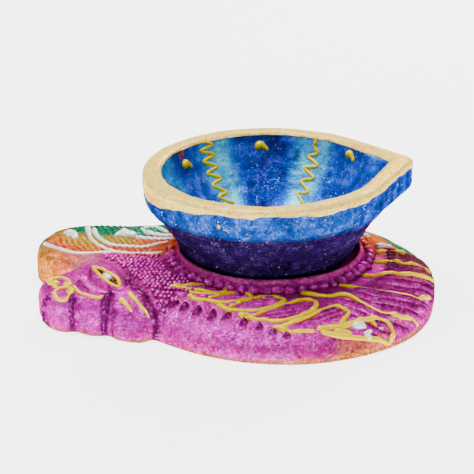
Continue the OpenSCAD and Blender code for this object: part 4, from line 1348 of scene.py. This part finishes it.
class DIYA_OT_stage(bpy.types.Operator):
    """Sets up the pale floor, the soft lights and the camera"""

    bl_idname = "diya.stage"
    bl_label = "Studio"

    def execute(self, context):
        stage = context.scene.diya_stage
        self.floor(stage)
        self.lights(context, stage)
        self.camera(context, stage)
        return {"FINISHED"}

    def floor(self, stage):
        half = 3.0
        corners = [(-half, -half, 0), (half, -half, 0), (half, half, 0), (-half, half, 0)]
        mesh = bpy.data.meshes.new("studio_floor")
        mesh.from_pydata(corners, [], [(0, 1, 2, 3)])
        floor = bpy.data.objects.new("studio_floor", mesh)
        bpy.context.scene.collection.objects.link(floor)
        mat, nodes, links, shader = material("studio_paper")
        tone = stage.floor_tone
        speck = noise_node(nodes, links, 4, 2)
        links.new(mix(nodes, links, speck, (tone, tone, tone), (tone * 0.99, tone * 0.99, tone)),
                  shader.inputs["Base Color"])
        shader.inputs["Emission Color"].default_value = (1, 1, 1, 1)
        shader.inputs["Emission Strength"].default_value = stage.floor_glow
        shader.inputs["Roughness"].default_value = 0.7
        shader.inputs["Specular IOR Level"].default_value = 0.2
        mesh.materials.append(mat)

    def lights(self, context, stage):
        middle = (cad_low + cad_high) / 2
        spots = [("overhead", (-0.15, 0.10, 0.75), 0.8, stage.key),
                 ("front", (-0.25, -0.75, 0.45), 0.7, stage.fill),
                 ("right", (0.65, -0.1, 0.35), 0.4, stage.fill * 0.8),
                 ("left", (-0.7, 0.15, 0.35), 0.4, stage.fill),
                 ("rear", (0.25, 0.65, 0.42), 0.3, stage.rear)]
        for name, away, wide, power in spots:
            data = bpy.data.lights.new(name + "_softbox", "AREA")
            data.energy, data.size = power, wide
            lamp = bpy.data.objects.new(name + "_softbox", data)
            lamp.location = middle + Vector(away)
            lamp.rotation_mode = "QUATERNION"
            lamp.rotation_quaternion = (-Vector(away)).to_track_quat("-Z", "Y")
            context.scene.collection.objects.link(lamp)
        world = bpy.data.worlds.new("studio_light")
        world.use_nodes = True
        world.node_tree.nodes["Background"].inputs["Color"].default_value = (1, 1, 1, 1)
        world.node_tree.nodes["Background"].inputs["Strength"].default_value = stage.sky
        context.scene.world = world

    def camera(self, context, stage):
        data = bpy.data.cameras.new("camera")
        data.lens, data.sensor_width = stage.lens, 36.0
        data.clip_start, data.clip_end = 0.05, 20.0
        camera = bpy.data.objects.new("camera", data)
        up = math.radians(stage.raise_deg)
        back = Vector((0, -math.cos(up), math.sin(up)))
        camera.location = Vector(stage.aim) + back * stage.away
        camera.rotation_mode = "QUATERNION"
        camera.rotation_quaternion = (-back).to_track_quat("-Z", "Y")
        context.scene.collection.objects.link(camera)
        context.scene.camera = camera


class DIYA_OT_plaque(bpy.types.Operator):
    """Presses the peacock plaque with its seat, head, scales, feathers and tail"""

    bl_idname = "diya.plaque"
    bl_label = "Plaque"

    def execute(self, context):
        build_plaque(context.scene.diya_plaque, colours(context), plaque_paint())
        return {"FINISHED"}


class DIYA_OT_pellets(bpy.types.Operator):
    """Sets the row of clay pellets round the seat"""

    bl_idname = "diya.pellets"
    bl_label = "Pellets"

    def execute(self, context):
        size = context.scene.diya_plaque
        turn = np.arange(size.pellet_count) / size.pellet_count * 2 * math.pi
        circle = np.stack([40 * np.cos(turn), 40 * np.sin(turn), 0 * turn], -1)
        ring = size.pellet_row / MM + 0.4 * lumps(circle, 3, 121)
        places = np.stack([SEAT_X + ring * np.cos(turn), ring * np.sin(turn),
                           0 * turn + PELLET_Z - 0.2], -1)
        wide = size.pellet_size / MM
        clay_beads("seat_pellet_row", places, "seat_pellets", colours(context),
                   (wide, wide, 0.85 * wide), size.pellet_uneven, 0.5, 4, -0.35)
        return {"FINISHED"}


class DIYA_OT_scales(bpy.types.Operator):
    """Presses the rows of scales on the neck and breast"""

    bl_idname = "diya.scales"
    bl_label = "Scales"

    def execute(self, context):
        size = context.scene.diya_plaque
        pitch, row = size.scale_pitch / MM, size.scale_row / MM
        skin = plaque_skin(context)
        y, x = np.mgrid[-40:2:row, -54:-19:pitch]
        x = x + 0.5 * pitch * (np.arange(len(x))[:, None] % 2)
        spot = np.stack([x, y, 0 * x], -1)
        x, y = x + 0.35 * lumps(spot, 2.2, 31), y + 0.5 * lumps(spot, 2.2, 32)
        kept = patch(x, y, SCALE_PATCH, 0.5) > 0.5
        places = settle(np.stack([x[kept], y[kept]], -1), skin, -0.15, 1)
        clay_beads("pressed_scales", places, "peacock_plaque", colours(context),
                   (0.95 * pitch, 0.92 * row, 1.0 * pitch), 0.2, 0.15, 2, -0.15)
        return {"FINISHED"}


class DIYA_OT_plaque_lines(bpy.types.Operator):
    """Squeezes the yellow and white relief paint onto the plaque"""

    bl_idname = "diya.plaque_lines"
    bl_label = "Relief paint on the plaque"

    def execute(self, context):
        skin = plaque_skin(context)
        uneven = context.scene.diya_paint.uneven
        for seed, (name, (kind, width, lines)) in enumerate(PLAQUE_PAINT.items()):
            laid = []
            for points, widths in lines:
                path = spline(points, LINE_STEPS)
                wide = np.interp(np.arange(len(path)) / LINE_STEPS, np.arange(len(widths)), widths)
                laid.append((settle(path, skin, LINE_SINK), wide))
            paint_bead(name, laid, width, line_paint(context, kind), "base",
                       seed, uneven)
        return {"FINISHED"}


class DIYA_OT_cup(bpy.types.Operator):
    """Throws the cup and pinches its spout"""

    bl_idname = "diya.cup"
    bl_label = "Cup"

    def execute(self, context):
        build_cup(context.scene.diya_cup, colours(context), cup_paint())
        return {"FINISHED"}


class DIYA_OT_gilding(bpy.types.Operator):
    """Brushes gold paint over the cup's rim"""

    bl_idname = "diya.gilding"
    bl_label = "Gilding"

    def execute(self, context):
        paint = colours(context)
        mat = made_material("gilt_rim_paint", gilt_paint, tuple(to_linear(paint["gold"])),
                            tuple(to_linear(paint["bronze"])))
        build_gilding(context.scene.diya_cup, mat)
        return {"FINISHED"}


class DIYA_OT_cup_lines(bpy.types.Operator):
    """Squeezes the zigzags, dabs and drips of relief paint onto the cup"""

    bl_idname = "diya.cup_lines"
    bl_label = "Relief paint on the cup"

    def execute(self, context):
        paint = context.scene.diya_paint
        grid, normals, parts = cup_grid(context.scene.diya_cup)
        rim_row, rim_end = rim_rows(parts)
        yellow = line_paint(context, "yellow")

        def on_cup(points, steps):
            way = spline(points, steps)
            return on_skin(grid, normals, way[:, 0], way[:, 1], LINE_LIFT)

        zigzags, dabs, drips = [], [], []
        sides = np.array([0, 1, -1, 1, -1, 1, -1, 1, -1, 1, -1, 1, -1.5])
        drops = np.array([0, 2, 4.5, 6, 8.5, 10, 12.5, 14, 16.5, 18, 21, 22, 25])
        for i in range(paint.zigzags):
            middle = (60.5 if i == 0 else 54) + 360 / paint.zigzags * i
            swing = 4 * smooth(*((4, 12) if i % 2 == 0 else (0, 5)), np.arange(13) * 2.0)
            way = on_cup(np.stack([middle + sides * swing, rim_row + 1.5 - drops], -1), 8)
            zigzags.append((way, np.ones(len(way))))
            blob, low = ((92, 6), (143, 7.5), (236, 7), (308, 7), (34, 4.5))[i % 5]
            row = rim_row - low
            way = on_cup([(blob + 3.5, row - 1), (blob + 1.5, row + 0.7), (blob - 1, row),
                          (blob - 3.5, row - 1.5)], 10)
            wide = np.interp(np.linspace(0, 1, len(way)), [0, 0.35, 0.7, 1], [1.0, 1.5, 0.9, 0.5])
            dabs.append((way, wide))
        for middle, first, last, wide in ((-121, 12.5, 13.6, 1.5), (-113, 8.2, 11.0, 1.0),
                                          (-112.5, -13, -6, 0.7)):
            way = on_cup([(middle, rim_end + first), (middle + 0.6, rim_end + last)], 8)
            drips.append((way, np.full(len(way), wide)))
        for seed, (name, lines, width) in enumerate([
                ("zigzag_lines", zigzags, 1.15), ("comma_dabs", dabs, 1.9),
                ("rim_drips", drips, 1.2)], 21):
            paint_bead(name, lines, width, yellow, "cup_body", seed,
                       paint.uneven)
        return {"FINISHED"}


class DIYA_PT_panel(bpy.types.Panel):
    """Lists the lamp's pieces and their sizes"""

    bl_label = "Painted Diya"
    bl_idname = "DIYA_PT_panel"
    bl_space_type = "VIEW_3D"
    bl_region_type = "UI"
    bl_category = "Diya"

    def draw(self, context):
        for operator in OPERATORS:
            self.layout.operator(operator.bl_idname, text=operator.bl_label)
        for label, group in SETTINGS.items():
            box = self.layout.box()
            box.label(text=label.replace("diya_", "").capitalize())
            for name in group.__annotations__:
                box.prop(getattr(context.scene, label), name)


OPERATORS = [DIYA_OT_stage, DIYA_OT_plaque, DIYA_OT_pellets, DIYA_OT_scales,
             DIYA_OT_plaque_lines, DIYA_OT_cup, DIYA_OT_gilding, DIYA_OT_cup_lines]
SETTINGS = {"diya_plaque": DiyaPlaqueSettings, "diya_cup": DiyaCupSettings,
            "diya_paint": DiyaPaintSettings, "diya_stage": DiyaStageSettings}


def register():
    """Registers the settings, the operators and the panel."""
    for cls in [*SETTINGS.values(), *OPERATORS, DIYA_PT_panel]:
        bpy.utils.register_class(cls)
    for label, group in SETTINGS.items():
        setattr(bpy.types.Scene, label, PointerProperty(type=group))


def unregister():
    """Removes everything that register added."""
    for label in SETTINGS:
        delattr(bpy.types.Scene, label)
    for cls in [DIYA_PT_panel, *reversed(OPERATORS), *SETTINGS.values()]:
        bpy.utils.unregister_class(cls)


def main():
    """Builds the lamp and its studio."""
    register()
    bpy.ops.diya.stage()
    bpy.ops.diya.plaque()
    bpy.ops.diya.pellets()
    bpy.ops.diya.scales()
    bpy.ops.diya.plaque_lines()
    bpy.ops.diya.cup()
    bpy.ops.diya.gilding()
    bpy.ops.diya.cup_lines()


if __name__ == "__main__":
    main()
